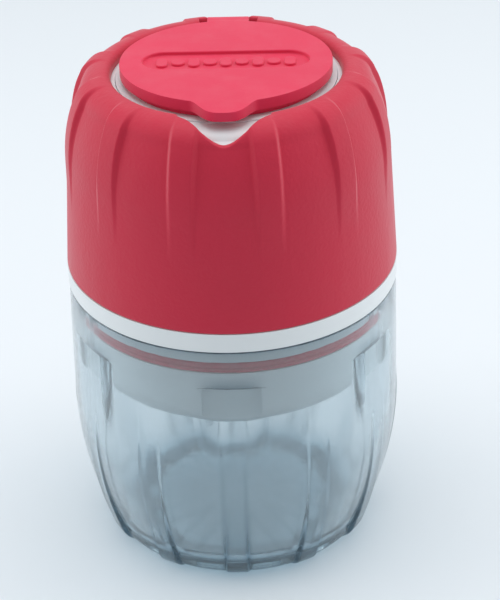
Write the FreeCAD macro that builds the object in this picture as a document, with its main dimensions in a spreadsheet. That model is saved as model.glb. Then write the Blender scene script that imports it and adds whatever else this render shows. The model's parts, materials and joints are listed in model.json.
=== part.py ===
import FreeCAD, Part
import math
import os

import Sketcher
from FreeCAD import Placement, Rotation, Vector

# A twist-action pill crusher. A clear jar stands on the table, and a white plug, the mill base, is keyed
# into its mouth. The head turns on that plug. It carries the hopper and the outer burr round the fixed
# inner burr, and a soft lid closes it.
# Origin: centre of the jar's base. +Z is up, -Y is the side with the lid's finger tab. Millimetres.

SIZES = {
    # The jar
    "jar_height": (57.6, "table to the jar's rim"),
    "jar_radius": (32.85, "outside radius of the rim"),
    "jar_wall": (2.35, "wall thickness"),
    "jar_floor": (3.4, "floor thickness"),
    "belly_swell": (0.45, "how far the belly stands out past the rim"),
    "belly_height": (30.0, "height of the belly"),
    "corner_inset": (4.85, "rim in to the top of the rounded corner"),
    "corner_height": (4.0, "height of the rounded corner"),
    "base_inset": (9.25, "rim in to the edge of the face that rests on the table"),
    "bowl_inset": (6.25, "rim in to the top of the floor's inside curve"),
    "bowl_curve": (5.6, "width of the floor's inside curve"),
    "foot_width": (4.8, "width of the ring that rests on the table"),
    "foot_recess": (0.8, "depth of the hollow inside that ring"),
    "rib_count": (12, "ribs round the jar, and round the grip"),
    "jar_rib_width": (4.6, "width of a jar rib"),
    "jar_rib_proud": (1.0, "how far a jar rib stands out at the corner"),
    "jar_rib_belly": (0.2, "how far a jar rib stands out at the belly"),
    "jar_rib_tail": (8.0, "belly up to where a jar rib runs out"),
    "key_count": (6, "keys inside the jar's mouth that stop the plug turning"),
    "key_proud": (1.2, "how far a key stands in from the rim's bore"),
    "key_sweep": (20.0, "angle that a key covers"),
    "key_drop": (9.0, "rim down to the top of the keys"),
    "key_length": (21.0, "full-depth length of a key"),
    "key_taper": (3.6, "length over which a key's lower end runs out"),
    # The mill base, a plug that stands on the keys in the jar's mouth
    "plug_play": (0.4, "radial gap between the plug and the jar's mouth"),
    "plug_sink": (0.3, "rim down to the plug's deck"),
    "plug_wall": (2.2, "wall thickness of the plug"),
    "plug_skirt": (3.6, "top of the keys down to the end of the plug's straight skirt"),
    "plug_foot": (5.8, "height of the plug's curved foot"),
    "plug_foot_inset": (3.5, "how far the foot curves in"),
    "deck_thickness": (2.2, "thickness of the plug's deck"),
    "key_play": (0.4, "gap between a key and its recess in the plug"),
    "key_play_angle": (1.2, "angle that a recess is wider than its key"),
    "gasket_drop": (3.2, "rim down to the gasket"),
    "gasket_height": (2.4, "height of the gasket"),
    "gasket_depth": (1.2, "depth of the gasket's groove"),
    "gasket_play": (0.3, "gap that stands for the gasket's squeeze"),
    # The carrier that holds the inner burr, screwed to bosses under the plug's deck
    "boss_radius": (2.1, "radius of each boss"),
    "boss_bite": (0.3, "how far a boss runs into the plug's wall"),
    "carrier_screw": (8.0, "length of the carrier's screws"),
    "carrier_thickness": (3.0, "thickness of the arms"),
    "carrier_arm": (5.0, "width of an arm"),
    "carrier_play": (0.3, "gap between the arms' ends and the plug's wall"),
    "hub_radius": (7.5, "radius of the carrier's hub"),
    "hub_rise": (1.0, "how far the hub stands above the arms"),
    "hub_gap": (2.2, "gap between the hub and the inner burr"),
    "drive_flats": (8.0, "size across flats of the hexagon that holds the burr"),
    "drive_height": (10.5, "height of the hexagon"),
    "drive_play": (0.3, "gap across the flats of the burr's socket"),
    "drive_end_play": (0.5, "gap above the hexagon"),
    "spring_radius": (5.9, "mean radius of the burr spring"),
    "spring_wire": (0.9, "wire diameter of the burr spring"),
    "spring_pitch": (1.7, "pitch of the burr spring"),
    "spring_play": (0.65, "gap round the spring in its pocket"),
    "spring_pocket": (4.8, "depth of the spring's pocket in the burr"),
    # The turning joint between the plug and the head
    "nut_wall": (2.0, "radial width of the retaining nut"),
    "nut_play": (0.6, "gap between the nut and the bosses"),
    "nut_height": (2.9, "height of the nut"),
    "nut_notch": (2.4, "width of a spanner notch in the nut"),
    "spigot_wall": (2.0, "wall of the head's spigot"),
    "spigot_play": (0.4, "radial gap between the spigot and the deck's hole"),
    "washer_thickness": (0.8, "thickness of each thrust washer"),
    "washer_width": (4.0, "radial width of the upper thrust washer"),
    "washer_play": (0.1, "running gap at each thrust washer"),
    "thread_play": (0.05, "gap at threads and round screws"),
    # The grinding burrs
    "burr_wall": (2.3, "wall of the outer burr where it grinds"),
    "burr_gap": (0.6, "radial gap between the burrs where they grind"),
    "burr_overhang": (0.5, "how far the inner burr reaches below the outer"),
    "burr_step": (1.5, "height of the inner burr's straight edge"),
    "inner_burr_height": (18.3, "height of the inner burr"),
    "inner_burr_tip": (4.5, "radius of the inner burr's tip"),
    "burr_throat_inset": (0.8, "how far the outer burr's bore narrows upwards"),
    "burr_neck": (2.9, "height of the outer burr's neck above its flange"),
    "burr_flange": (2.0, "thickness of the outer burr's flange"),
    "flange_edge": (2.0, "screw circle out to the edge of that flange"),
    "flange_play": (1.5, "gap between that flange and the head's bosses"),
    "grind_height": (1.3, "height of the outer burr's straight grinding ring"),
    "flute_count": (10, "flutes on the inner burr"),
    "flute_width": (2.2, "width of an inner flute"),
    "flute_depth": (1.6, "depth of a flute at the tip"),
    "tooth_count": (18, "grooves in the outer burr"),
    "tooth_width": (1.6, "width of an outer groove"),
    "tooth_depth": (1.3, "depth of an outer groove at the top"),
    # Fasteners
    "screw_radius": (1.0, "shank radius of the small screws"),
    "screw_head": (1.6, "head radius of the small screws"),
    "screw_head_height": (1.3, "head height of the small screws"),
    "bolt_radius": (1.5, "shank radius of the burr screw"),
    "bolt_head": (2.8, "head radius of the burr screw"),
    "bolt_head_height": (2.0, "head height of the burr screw"),
    "bolt_socket": (2.0, "size across flats of the burr screw's socket"),
    "bolt_play": (0.2, "gap round the burr screw in the hub"),
    "bolt_washer_radius": (3.6, "radius of the burr screw's washer"),
    "bolt_washer_thickness": (0.6, "thickness of the burr screw's washer"),
    "insert_radius": (2.6, "outside radius of the threaded insert"),
    "insert_land": (1.0, "burr's socket up to the insert"),
    "insert_length": (5.5, "length of the insert"),
    # The head
    "head_gap": (0.35, "running gap between the head and the jar's rim"),
    "band_proud": (0.15, "how far the band stands out past the rim"),
    "band_height": (4.2, "rim up to the top of the band"),
    "band_wall": (2.2, "wall of the band"),
    "holder_thickness": (2.6, "thickness of the burr holder's flange"),
    "holder_play": (0.1, "gap between the holder and the band"),
    "holder_edge": (2.6, "band's bore in to the holder's screw circle"),
    "holder_boss": (2.1, "radius of each screw boss in the head"),
    "holder_boss_height": (9.0, "height of those bosses"),
    "holder_screw": (6.0, "how far the holder's screws reach into the bosses"),
    "grip_wall": (2.0, "thickness of the soft grip"),
    "grip_bond": (0.05, "bond line between the grip and the housing"),
    "housing_wall": (2.0, "wall of the housing"),
    "crown_height": (44.1, "rim up to the grip's highest ring"),
    "shoulder_drop": (3.9, "crown down to the shoulder"),
    "waist_drop": (12.2, "shoulder down to the waist"),
    "waist_inset": (1.5, "band in to the waist"),
    "shoulder_inset": (4.7, "band in to the shoulder"),
    "crown_inset": (9.6, "band in to the crown"),
    "lip_round": (1.25, "radius of the rounded lip of the grip's opening"),
    "grip_rib_width": (4.8, "width of a grip rib"),
    "grip_rib_proud": (1.2, "how far a grip rib stands out at the shoulder"),
    "grip_rib_sink": (0.2, "how far a grip rib lies below the skin at the crown"),
    "barrel_rise": (2.0, "waist down to the height where the barrel is widest"),
    "grip_rib_tail": (9.0, "waist down to where a grip rib runs out"),
    "notch_width": (17.0, "width of the notch in front at the grip's opening"),
    "notch_inset": (0.1, "shoulder in to the notch's tip"),
    "notch_round": (5.4, "half width of the notch where its round tip starts"),
    "notch_play": (0.15, "gap between the notch and the land that fills it"),
    # The hopper and the lid
    "hopper_wall": (1.6, "wall of the hopper"),
    "hopper_show": (0.95, "grip's opening in to the edge of the hopper's flange"),
    "hopper_lip": (3.0, "width of the hopper's flange"),
    "hopper_rise": (0.2, "how far the flange stands above the housing's deck"),
    "hopper_straight": (6.3, "depth of the straight part below the flange"),
    "hopper_step": (0.7, "outer burr's bore out to the hopper's"),
    "hopper_play": (0.1, "gap round the hopper"),
    "seal_thickness": (0.8, "thickness of the hopper seal"),
    "lid_gap": (1.85, "gap between the lid's disc and the grip, and width of the slots beside the strap"),
    "lid_thickness": (2.1, "thickness of the lid's disc"),
    "lid_edge": (0.5, "rounding of the disc's upper edge"),
    "lid_seat": (1.4, "height of the step that rests on the hopper"),
    "lid_seat_inset": (1.1, "disc's edge in to that step"),
    "lid_plug_play": (0.6, "radial gap between the lid's plug and the hopper"),
    "lid_plug_wall": (1.8, "wall of the lid's plug"),
    "lid_plug_depth": (2.8, "depth of the lid's plug"),
    "tab_reach": (4.5, "how far the finger tab stands out from the disc"),
    "tab_root": (12.8, "width of the finger tab at the disc"),
    "tab_tip": (6.4, "width of the finger tab at its tip"),
    "tab_thickness": (2.0, "thickness of the finger tab"),
    "label_length": (31.9, "length of the recess on the lid"),
    "label_width": (8.7, "width of the recess on the lid"),
    "label_depth": (0.8, "depth of the recess on the lid"),
    "strap_width": (8.4, "width of the lid's strap"),
    "strap_slot": (2.4, "how far the slots beside the strap reach behind the opening"),
    "hinge_radius": (0.75, "half thickness of the strap where it bends"),
    "hinge_offset": (0.25, "hinge line behind the grip's opening"),
    "hinge_rise": (0.35, "hinge line above the grip's highest ring"),
    "hinge_play": (0.35, "slit that stands for the bending strap"),
}

# Shares of a named size that a small detail takes up
NOTCH_CUT = 0.85  # of the grip's wall, cut below the shoulder by the notch
NOTCH_BULGE = 0.6  # of the notch's half width, taken by its round tip
INSET_OUT, INSET_DOWN = 0.9, 0.45  # of an inset, followed by the shoulder
RIB_LIFT = 0.45  # of a grip rib's height, by which it rises over the shoulder
ROOT_OUT, ROOT_DOWN = 0.45, 0.22  # of the grip's wall, sunk by a rib's root
LIP_SHARE = 0.4  # of the gasket's height, taken by its lip
SOCKET_SHARE = 0.6  # of a bolt head's height, taken by its socket
CROSS_SHARE, HEAD_FLAT = 0.4, 0.8  # of a screw head's radius
POINT_SHARE = 0.3  # of a screw's radius, left flat at its point
CROSS_DEPTH, HEAD_ROUND = 0.8, 0.3  # mm, in a screw's head
BOLT_CHAMFER, BOLT_SHORT = 0.5, 1.0  # mm, at the bolt's head and at its end

doc = FreeCAD.newDocument("pill_crusher")
sheet = doc.addObject("Spreadsheet::Sheet", "Sizes")
for row, (alias, (value, meaning)) in enumerate(SIZES.items(), start=1):
    sheet.set(f"A{row}", alias)
    sheet.set(f"B{row}", str(value))
    sheet.set(f"C{row}", meaning)
    sheet.setAlias(f"B{row}", alias)
doc.recompute()


class Size:
    """A number that also carries the spreadsheet expression it comes from."""

    def __init__(self, value, text):
        self.value = value
        self.text = text

    def joined(self, sign, other, value):
        return Size(value, f"({self.text} {sign} {other.text})")

    def __add__(self, other):
        other = as_size(other)
        return self.joined("+", other, self.value + other.value)

    def __sub__(self, other):
        other = as_size(other)
        return self.joined("-", other, self.value - other.value)

    def __mul__(self, other):
        other = as_size(other)
        return self.joined("*", other, self.value * other.value)

    def __truediv__(self, other):
        other = as_size(other)
        return self.joined("/", other, self.value / other.value)

    def __neg__(self):
        return Size(-self.value, f"(-{self.text})")


def as_size(number):
    return number if isinstance(number, Size) else Size(number, str(number))


class Sheet:
    """Gives each spreadsheet alias as a Size."""

    def __getattr__(self, alias):
        return Size(sheet.get(alias), f"Sizes.{alias}")


size = Sheet()
ZERO = as_size(0)


# ---- sketching -------------------------------------------------------------------------------------

def new_body(label):
    body = doc.addObject("PartDesign::Body", label)
    body.Label = label
    return body


def origin_part(body, role):
    return next(item for item in body.Origin.OriginFeatures if item.Role == role)


def new_sketch(body, name, role, lift=ZERO, turn=0):
    """A sketch on one of the body's planes, lifted along its normal or turned about its own Y."""
    sketch = body.newObject("Sketcher::SketchObject", f"{body.Name}_{name}")
    sketch.AttachmentSupport = (origin_part(body, role), [""])
    sketch.MapMode = "FlatFace"
    sketch.AttachmentOffset = Placement(Vector(0, 0, lift.value), Rotation(Vector(0, 1, 0), turn))
    if lift is not ZERO:
        sketch.setExpression("AttachmentOffset.Base.z", lift.text)
    return sketch


def pin(sketch, item, end, axis, distance):
    """Ties one point of a sketch to its distance from the origin along X or Y."""
    if distance.text == "0":
        sketch.addConstraint(Sketcher.Constraint("PointOnObject", item, end, -2 if axis == "X" else -1))
        return
    ends = (-1, 1, item, end)
    if distance.value < 0:
        ends = (item, end, -1, 1)
        distance = -distance
    index = sketch.addConstraint(Sketcher.Constraint("Distance" + axis, *ends, distance.value))
    sketch.setExpression(f"Constraints[{index}]", distance.text)


def pin_radius(sketch, item, radius):
    index = sketch.addConstraint(Sketcher.Constraint("Radius", item, radius.value))
    sketch.setExpression(f"Constraints[{index}]", radius.text)


def arc_between(start, end, centre_axis, centre_value):
    """The shorter arc whose centre has the given x or y, and the ends that its two points have."""
    middle = (start + end) / 2
    along = end - start
    if centre_axis == "X":
        centre = Vector(centre_value, middle.y - (centre_value - middle.x) * along.x / along.y, 0)
    else:
        centre = Vector(middle.x - (centre_value - middle.y) * along.y / along.x, centre_value, 0)
    angles = [math.atan2(point.y - centre.y, point.x - centre.x) for point in (start, end)]
    circle = Part.Circle(centre, Vector(0, 0, 1), (start - centre).Length)
    if (angles[1] - angles[0]) % math.tau < math.pi:
        return Part.ArcOfCircle(circle, angles[0], angles[1]), 1, 2
    return Part.ArcOfCircle(circle, angles[1], angles[0]), 2, 1


def outline(sketch, corners):
    """Closes a loop through corners (x, y), where (x, y, "X" or "Y", c) ends an arc centred on x or y = c."""
    corners = [(as_size(corner[0]), as_size(corner[1]), *corner[2:]) for corner in corners]
    points = [Vector(corner[0].value, corner[1].value, 0) for corner in corners]
    first_item = sketch.GeometryCount
    ends = []
    for index, corner in enumerate(corners):
        start = points[index - 1]
        if len(corner) == 2:
            sketch.addGeometry(Part.LineSegment(start, points[index]))
            ends.append((1, 2))
        else:
            centre = as_size(corner[3]).value
            arc, start_end, finish_end = arc_between(start, points[index], corner[2], centre)
            sketch.addGeometry(arc)
            ends.append((start_end, finish_end))
    for index, corner in enumerate(corners):
        item = first_item + index
        following = (index + 1) % len(corners)
        joint = (item, ends[index][1], first_item + following, ends[following][0])
        sketch.addConstraint(Sketcher.Constraint("Coincident", *joint))
        pin(sketch, item, ends[index][1], "X", corner[0])
        pin(sketch, item, ends[index][1], "Y", corner[1])
        if len(corner) > 2:
            pin(sketch, item, 3, corner[2], as_size(corner[3]))


def circle(sketch, x, y, radius):
    item = sketch.addGeometry(Part.Circle(Vector(x.value, y.value, 0), Vector(0, 0, 1), radius.value))
    pin(sketch, item, 3, "X", x)
    pin(sketch, item, 3, "Y", y)
    pin_radius(sketch, item, radius)


# ---- features --------------------------------------------------------------------------------------

def settle(body, before, cut):
    """Recomputes, and stops if a feature changed nothing."""
    doc.recompute()
    change = body.Shape.Volume - before
    if (cut and change > -1e-3) or (not cut and change < 1e-3):
        raise RuntimeError(f"{body.Label}: the last feature changed the volume by {change:.4f} mm3")


def volume(body):
    return 0.0 if body.Shape.isNull() else body.Shape.Volume


def spin(body, sketch, cut=False, sweep=None):
    """Turns a sketch about the vertical axis: a full turn, or a sweep split either side of the sketch."""
    before = volume(body)
    feature = body.newObject("PartDesign::Groove" if cut else "PartDesign::Revolution", sketch.Name + "_spin")
    feature.Profile = sketch
    feature.ReferenceAxis = (sketch, ["V_Axis"])
    feature.Angle = 360 if sweep is None else sweep.value
    if sweep is not None:
        feature.Midplane = True
        feature.setExpression("Angle", sweep.text)
    settle(body, before, cut)
    return feature


def pull(body, sketch, length, cut=False, both=False):
    """Pads a sketch, or cuts with it: upwards from its plane, or to both sides of it."""
    before = volume(body)
    feature = body.newObject("PartDesign::Pocket" if cut else "PartDesign::Pad", sketch.Name + "_pull")
    feature.Profile = sketch
    feature.SideType = "Symmetric" if both else "One side"
    feature.Reversed = cut
    feature.Length = length.value
    feature.setExpression("Length", length.text)
    settle(body, before, cut)
    return feature


def around(body, features, count, cut=False):
    """Repeats features evenly about the vertical axis."""
    before = volume(body)
    pattern = body.newObject("PartDesign::PolarPattern", f"{body.Name}_{features[0].Name}_ring")
    pattern.Originals = features
    pattern.Axis = (origin_part(body, "Z_Axis"), [""])
    pattern.Angle = 360
    pattern.Occurrences = int(count.value)
    pattern.setExpression("Occurrences", count.text)
    body.Tip = pattern
    settle(body, before, cut)
    return pattern


def turned(label, corners):
    """A body turned from one profile of (radius, height) corners."""
    body = new_body(label)
    sketch = new_sketch(body, "profile", "XZ_Plane")
    outline(sketch, corners)
    spin(body, sketch)
    return body


def flat_ring(label, inner, outer, bottom, top):
    return turned(label, [(inner, bottom), (outer, bottom), (outer, top), (inner, top)])


# ---- radii and heights that several pieces share ---------------------------------------------------

# The jar and the plug in its mouth
rim = size.jar_height
jar_bore = size.jar_radius - size.jar_wall
key_radius = jar_bore - size.key_proud
key_top = rim - size.key_drop
plug_radius = jar_bore - size.plug_play
plug_bore = plug_radius - size.plug_wall
plug_skirt_end = key_top - size.plug_skirt
plug_foot_end = plug_skirt_end - size.plug_foot
gasket_top = rim - size.gasket_drop
gasket_bed = plug_radius - size.gasket_depth
deck_top = rim - size.plug_sink
deck_bottom = deck_top - size.deck_thickness

# The turning joint, from the bosses in to the spigot's bore
boss_pitch = plug_bore + size.boss_bite - size.boss_radius
nut_radius = boss_pitch - size.boss_radius - size.nut_play
spigot_radius = nut_radius - size.nut_wall
spigot_bore = spigot_radius - size.spigot_wall
deck_hole = spigot_radius + size.spigot_play
nut_top = deck_bottom - size.washer_play - size.washer_thickness
spigot_end = nut_top - size.nut_height
holder_bottom = deck_top + size.washer_thickness + size.washer_play
holder_top = holder_bottom + size.holder_thickness
holder_neck = holder_bottom + size.screw_head_height + size.holder_play

# The burrs and what holds them
outer_burr_radius = spigot_bore - size.holder_play
grind_radius = outer_burr_radius - size.burr_wall
inner_burr_radius = grind_radius - size.burr_gap
inner_burr_end = spigot_end - size.burr_overhang
hub_top = inner_burr_end - size.hub_gap
arm_top = hub_top - size.hub_rise
arm_bottom = arm_top - size.carrier_thickness
drive_top = hub_top + size.drive_height
spring_bore = size.spring_radius + size.spring_wire / 2 + size.spring_play
spring_top = inner_burr_end + size.spring_pocket
socket_top = drive_top + size.drive_end_play
insert_bottom = socket_top + size.insert_land
insert_top = insert_bottom + size.insert_length
bolt_bore = size.bolt_radius + size.bolt_play
throat = grind_radius - size.burr_throat_inset
flange_top = holder_top + size.burr_flange
outer_burr_top = flange_top + size.burr_neck

# The head's shell
band_radius = size.jar_radius + size.band_proud
band_bore = band_radius - size.band_wall
band_top = rim + size.band_height
crown = rim + size.crown_height
shoulder = crown - size.shoulder_drop
waist = shoulder - size.waist_drop
barrel_centre = waist - size.barrel_rise
waist_radius = band_radius - size.waist_inset
shoulder_radius = band_radius - size.shoulder_inset
crown_radius = band_radius - size.crown_inset
mouth_radius = crown_radius - size.lip_round
house_deck = crown - size.grip_wall
notch_tip = shoulder_radius - size.notch_inset
notch_floor = shoulder - size.grip_wall * NOTCH_CUT
holder_pitch = band_bore - size.holder_edge
burr_flange_radius = holder_pitch - size.holder_boss - size.flange_play
flange_pitch = burr_flange_radius - size.flange_edge

# The hopper and the lid
hopper_flange_radius = mouth_radius - size.hopper_show
hopper_radius = hopper_flange_radius - size.hopper_lip
hopper_throat = throat + size.hopper_step
hopper_outside = hopper_radius + size.hopper_wall
burr_neck_radius = hopper_throat + size.hopper_wall
hopper_top = house_deck + size.hopper_rise
hopper_flange_end = hopper_top - size.hopper_wall
hopper_end = outer_burr_top + size.seal_thickness
lid_radius = mouth_radius - size.lid_gap
lid_seat_top = hopper_top + size.lid_seat
lid_top = lid_seat_top + size.lid_thickness
hinge_y = mouth_radius + size.hinge_offset
hinge_z = crown + size.hinge_rise

three = as_size(3)
four = as_size(4)
overrun = as_size(1.0)  # how far a cut runs past what it cuts, and an added shape starts inside its body


def jar():
    base_radius = size.jar_radius - size.base_inset
    corner_radius = size.jar_radius - size.corner_inset
    belly_radius = size.jar_radius + size.belly_swell
    bowl_radius = size.jar_radius - size.bowl_inset
    floor_radius = bowl_radius - size.bowl_curve
    body = turned("jar", [
        (0, size.foot_recess),
        (base_radius - size.foot_width - size.foot_recess, size.foot_recess),
        (base_radius - size.foot_width, 0),
        (base_radius, 0),
        (corner_radius, size.corner_height, "X", base_radius),
        (belly_radius, size.belly_height, "Y", size.belly_height),
        (size.jar_radius, rim, "Y", size.belly_height),
        (jar_bore, rim),
        (belly_radius - size.jar_wall, size.belly_height, "Y", size.belly_height),
        (bowl_radius, size.corner_height + size.jar_floor, "Y", size.belly_height),
        (floor_radius, size.jar_floor, "X", floor_radius),
        (0, size.jar_floor),
    ])
    rib = new_sketch(body, "rib", "XZ_Plane")
    root = base_radius - overrun
    mid_wall = belly_radius - size.jar_wall / 2
    tail = size.belly_height + size.jar_rib_tail
    outline(rib, [
        (root, 0),
        (base_radius + size.jar_rib_proud, 0),
        (corner_radius + size.jar_rib_proud, size.corner_height, "X", base_radius),
        (belly_radius + size.jar_rib_belly, size.belly_height, "Y", size.belly_height),
        (belly_radius - size.jar_rib_belly / 2, tail),
        (mid_wall, tail),
        (mid_wall, size.belly_height),
        (corner_radius - overrun / 2, size.corner_height + overrun),
        (root, overrun),
    ])
    around(body, [pull(body, rib, size.jar_rib_width, both=True)], size.rib_count)
    key = new_sketch(body, "key", "XZ_Plane", turn=30)
    key_bottom = key_top - size.key_length
    inside_wall = jar_bore + size.jar_wall / 2
    outline(key, [
        (key_radius, key_top),
        (key_radius, key_bottom),
        (inside_wall, key_bottom - size.key_taper),
        (inside_wall, key_top),
    ])
    around(body, [spin(body, key, sweep=size.key_sweep)], size.key_count)
    return body


def mill_base():
    gasket_end = gasket_top - size.gasket_height
    foot_radius = plug_radius - size.plug_foot_inset
    body = turned("mill_base", [
        (deck_hole, deck_bottom),
        (plug_bore, deck_bottom),
        (plug_bore, plug_skirt_end),
        (foot_radius - size.plug_wall, plug_foot_end, "Y", plug_skirt_end),
        (foot_radius, plug_foot_end),
        (plug_radius, plug_skirt_end, "Y", plug_skirt_end),
        (plug_radius, gasket_end),
        (gasket_bed, gasket_end),
        (gasket_bed, gasket_top),
        (plug_radius, gasket_top),
        (plug_radius, deck_top),
        (deck_hole, deck_top),
    ])
    boss = new_sketch(body, "boss", "XY_Plane", lift=arm_top)
    circle(boss, ZERO, boss_pitch, size.boss_radius)
    around(body, [pull(body, boss, deck_bottom - arm_top)], three)
    recess = new_sketch(body, "recess", "XZ_Plane", turn=30)
    recess_radius = key_radius - size.key_play
    outline(recess, [
        (recess_radius, key_top),
        (recess_radius, plug_foot_end - overrun),
        (plug_radius + overrun, plug_foot_end - overrun),
        (plug_radius + overrun, key_top),
    ])
    cut = spin(body, recess, cut=True, sweep=size.key_sweep + size.key_play_angle)
    around(body, [cut], size.key_count, cut=True)
    hole = new_sketch(body, "screw_hole", "XY_Plane", lift=arm_top)
    circle(hole, ZERO, boss_pitch, size.screw_radius)
    around(body, [pull(body, hole, deck_bottom - arm_top - overrun, cut=True)], three, cut=True)
    return body


def jar_gasket():
    lip = jar_bore - size.gasket_play
    bottom = gasket_top - size.gasket_height
    lip_width = size.gasket_height * LIP_SHARE
    return turned("jar_gasket", [
        (gasket_bed, gasket_top),
        (lip, gasket_top),
        (lip, gasket_top - lip_width),
        (lip - lip_width / 2, gasket_top - size.gasket_height / 2),
        (lip, bottom + lip_width),
        (lip, bottom),
        (gasket_bed, bottom),
    ])


def burr_carrier():
    body = new_body("burr_carrier")
    hub = new_sketch(body, "hub", "XY_Plane", lift=arm_bottom)
    circle(hub, ZERO, ZERO, size.hub_radius)
    pull(body, hub, hub_top - arm_bottom)
    arm = new_sketch(body, "arm", "XY_Plane", lift=arm_bottom)
    half = size.carrier_arm / 2
    tip_centre = plug_bore - size.carrier_play - half
    outline(arm, [
        (-half, 0),
        (half, 0),
        (half, tip_centre),
        (-half, tip_centre),
    ])
    tip = new_sketch(body, "arm_tip", "XY_Plane", lift=arm_bottom)
    circle(tip, ZERO, tip_centre, half)
    reach = [pull(body, arm, size.carrier_thickness), pull(body, tip, size.carrier_thickness)]
    around(body, reach, three)
    drive = new_sketch(body, "drive", "XY_Plane", lift=hub_top)
    hexagon(drive, size.drive_flats)
    pull(body, drive, size.drive_height)
    bore = new_sketch(body, "bore", "XY_Plane", lift=arm_bottom)
    circle(bore, ZERO, ZERO, bolt_bore)
    pull(body, bore, drive_top - arm_bottom, cut=True)
    hole = new_sketch(body, "screw_hole", "XY_Plane", lift=arm_bottom)
    circle(hole, ZERO, boss_pitch, size.screw_radius)
    around(body, [pull(body, hole, size.carrier_thickness, cut=True)], three, cut=True)
    return body


def hexagon(sketch, flats):
    """A hexagon with two flats facing X, from its size across flats."""
    half = flats / 2
    corner = flats / math.sqrt(3)
    outline(sketch, [
        (half, -(corner / 2)),
        (half, corner / 2),
        (0, corner),
        (-half, corner / 2),
        (-half, -(corner / 2)),
        (0, -corner),
    ])


def inner_burr():
    edge = inner_burr_end + size.burr_step
    tip = inner_burr_end + size.inner_burr_height
    body = turned("inner_burr", [
        (spring_bore, inner_burr_end),
        (inner_burr_radius, inner_burr_end),
        (inner_burr_radius, edge),
        (size.inner_burr_tip, tip),
        (0, tip),
        (0, insert_top),
        (size.insert_radius, insert_top),
        (size.insert_radius, insert_bottom),
        (bolt_bore, insert_bottom),
        (bolt_bore, spring_top),
        (spring_bore, spring_top),
    ])
    socket = new_sketch(body, "socket", "XY_Plane", lift=spring_top)
    hexagon(socket, size.drive_flats + size.drive_play)
    pull(body, socket, socket_top - spring_top, cut=True)
    flute = new_sketch(body, "flute", "XZ_Plane")
    outline(flute, [
        (size.inner_burr_tip - size.flute_depth, tip + overrun),
        (inner_burr_radius - size.flute_depth / 3, edge),
        (inner_burr_radius + overrun, edge),
        (inner_burr_radius + overrun, tip + overrun),
    ])
    around(body, [pull(body, flute, size.flute_width, cut=True, both=True)], size.flute_count, cut=True)
    return body


def burr_screw():
    head_top = arm_bottom - size.bolt_washer_thickness
    head_bottom = head_top - size.bolt_head_height
    body = turned("burr_screw", [
        (0, head_bottom),
        (size.bolt_head - BOLT_CHAMFER, head_bottom),
        (size.bolt_head, head_bottom + BOLT_CHAMFER),
        (size.bolt_head, head_top),
        (size.bolt_radius, head_top),
        (size.bolt_radius, insert_top - BOLT_SHORT),
        (size.bolt_radius - BOLT_CHAMFER, insert_top - BOLT_CHAMFER),
        (0, insert_top - BOLT_CHAMFER),
    ])
    slot = new_sketch(body, "socket", "XY_Plane", lift=head_bottom)
    hexagon(slot, size.bolt_socket)
    pull(body, slot, size.bolt_head_height * SOCKET_SHARE, cut=True)
    return body


def burr_washer():
    bore = size.bolt_radius + size.thread_play
    return flat_ring("burr_washer", bore, size.bolt_washer_radius,
                     arm_bottom - size.bolt_washer_thickness, arm_bottom)


def burr_insert():
    return flat_ring("burr_insert", size.bolt_radius, size.insert_radius, insert_bottom, insert_top)


def burr_spring():
    body = new_body("burr_spring")
    wire = new_sketch(body, "wire", "XZ_Plane")
    circle(wire, size.spring_radius, hub_top + size.spring_wire / 2, size.spring_wire / 2)
    coil = body.newObject("PartDesign::AdditiveHelix", "burr_spring_coil")
    coil.Profile = wire
    coil.ReferenceAxis = (wire, ["V_Axis"])
    coil.Mode = "pitch-height-angle"
    rise = spring_top - hub_top - size.spring_wire
    coil.Pitch = size.spring_pitch.value
    coil.setExpression("Pitch", size.spring_pitch.text)
    coil.Height = rise.value
    coil.setExpression("Height", rise.text)
    settle(body, 0.0, cut=False)
    return body


def screws(label, pitch, head, neck, tip, count, turn):
    """Identical pan-head screws on one circle, each a solid of its own with a round drive socket."""
    lean = as_size(1 if tip.value > head.value else -1)
    socket = head + lean * CROSS_DEPTH
    body = new_body(label)
    body.AllowCompound = True
    profile = new_sketch(body, "profile", "XZ_Plane", turn=turn)
    outline(profile, [
        (pitch, socket),
        (pitch + size.screw_head * CROSS_SHARE, socket),
        (pitch + size.screw_head * CROSS_SHARE, head),
        (pitch + size.screw_head * HEAD_FLAT, head),
        (pitch + size.screw_head, head + lean * HEAD_ROUND),
        (pitch + size.screw_head, neck),
        (pitch + size.screw_radius, neck),
        (pitch + size.screw_radius, tip - lean),
        (pitch + size.screw_radius * POINT_SHARE, tip),
        (pitch, tip),
    ])
    line = Part.LineSegment(Vector(pitch.value, socket.value, 0), Vector(pitch.value, tip.value, 0))
    axis = profile.addGeometry(line, True)
    pin(profile, axis, 1, "X", pitch)
    pin(profile, axis, 1, "Y", socket)
    pin(profile, axis, 2, "X", pitch)
    pin(profile, axis, 2, "Y", tip)
    screw = body.newObject("PartDesign::Revolution", f"{label}_spin")
    screw.Profile = profile
    screw.ReferenceAxis = (profile, ["Axis0"])
    screw.Angle = 360
    settle(body, 0.0, cut=False)
    around(body, [screw], count)
    return body


def carrier_screws():
    head = arm_bottom - size.screw_head_height
    return screws("carrier_screws", boss_pitch, head, arm_bottom, arm_bottom + size.carrier_screw, three, 90)


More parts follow.
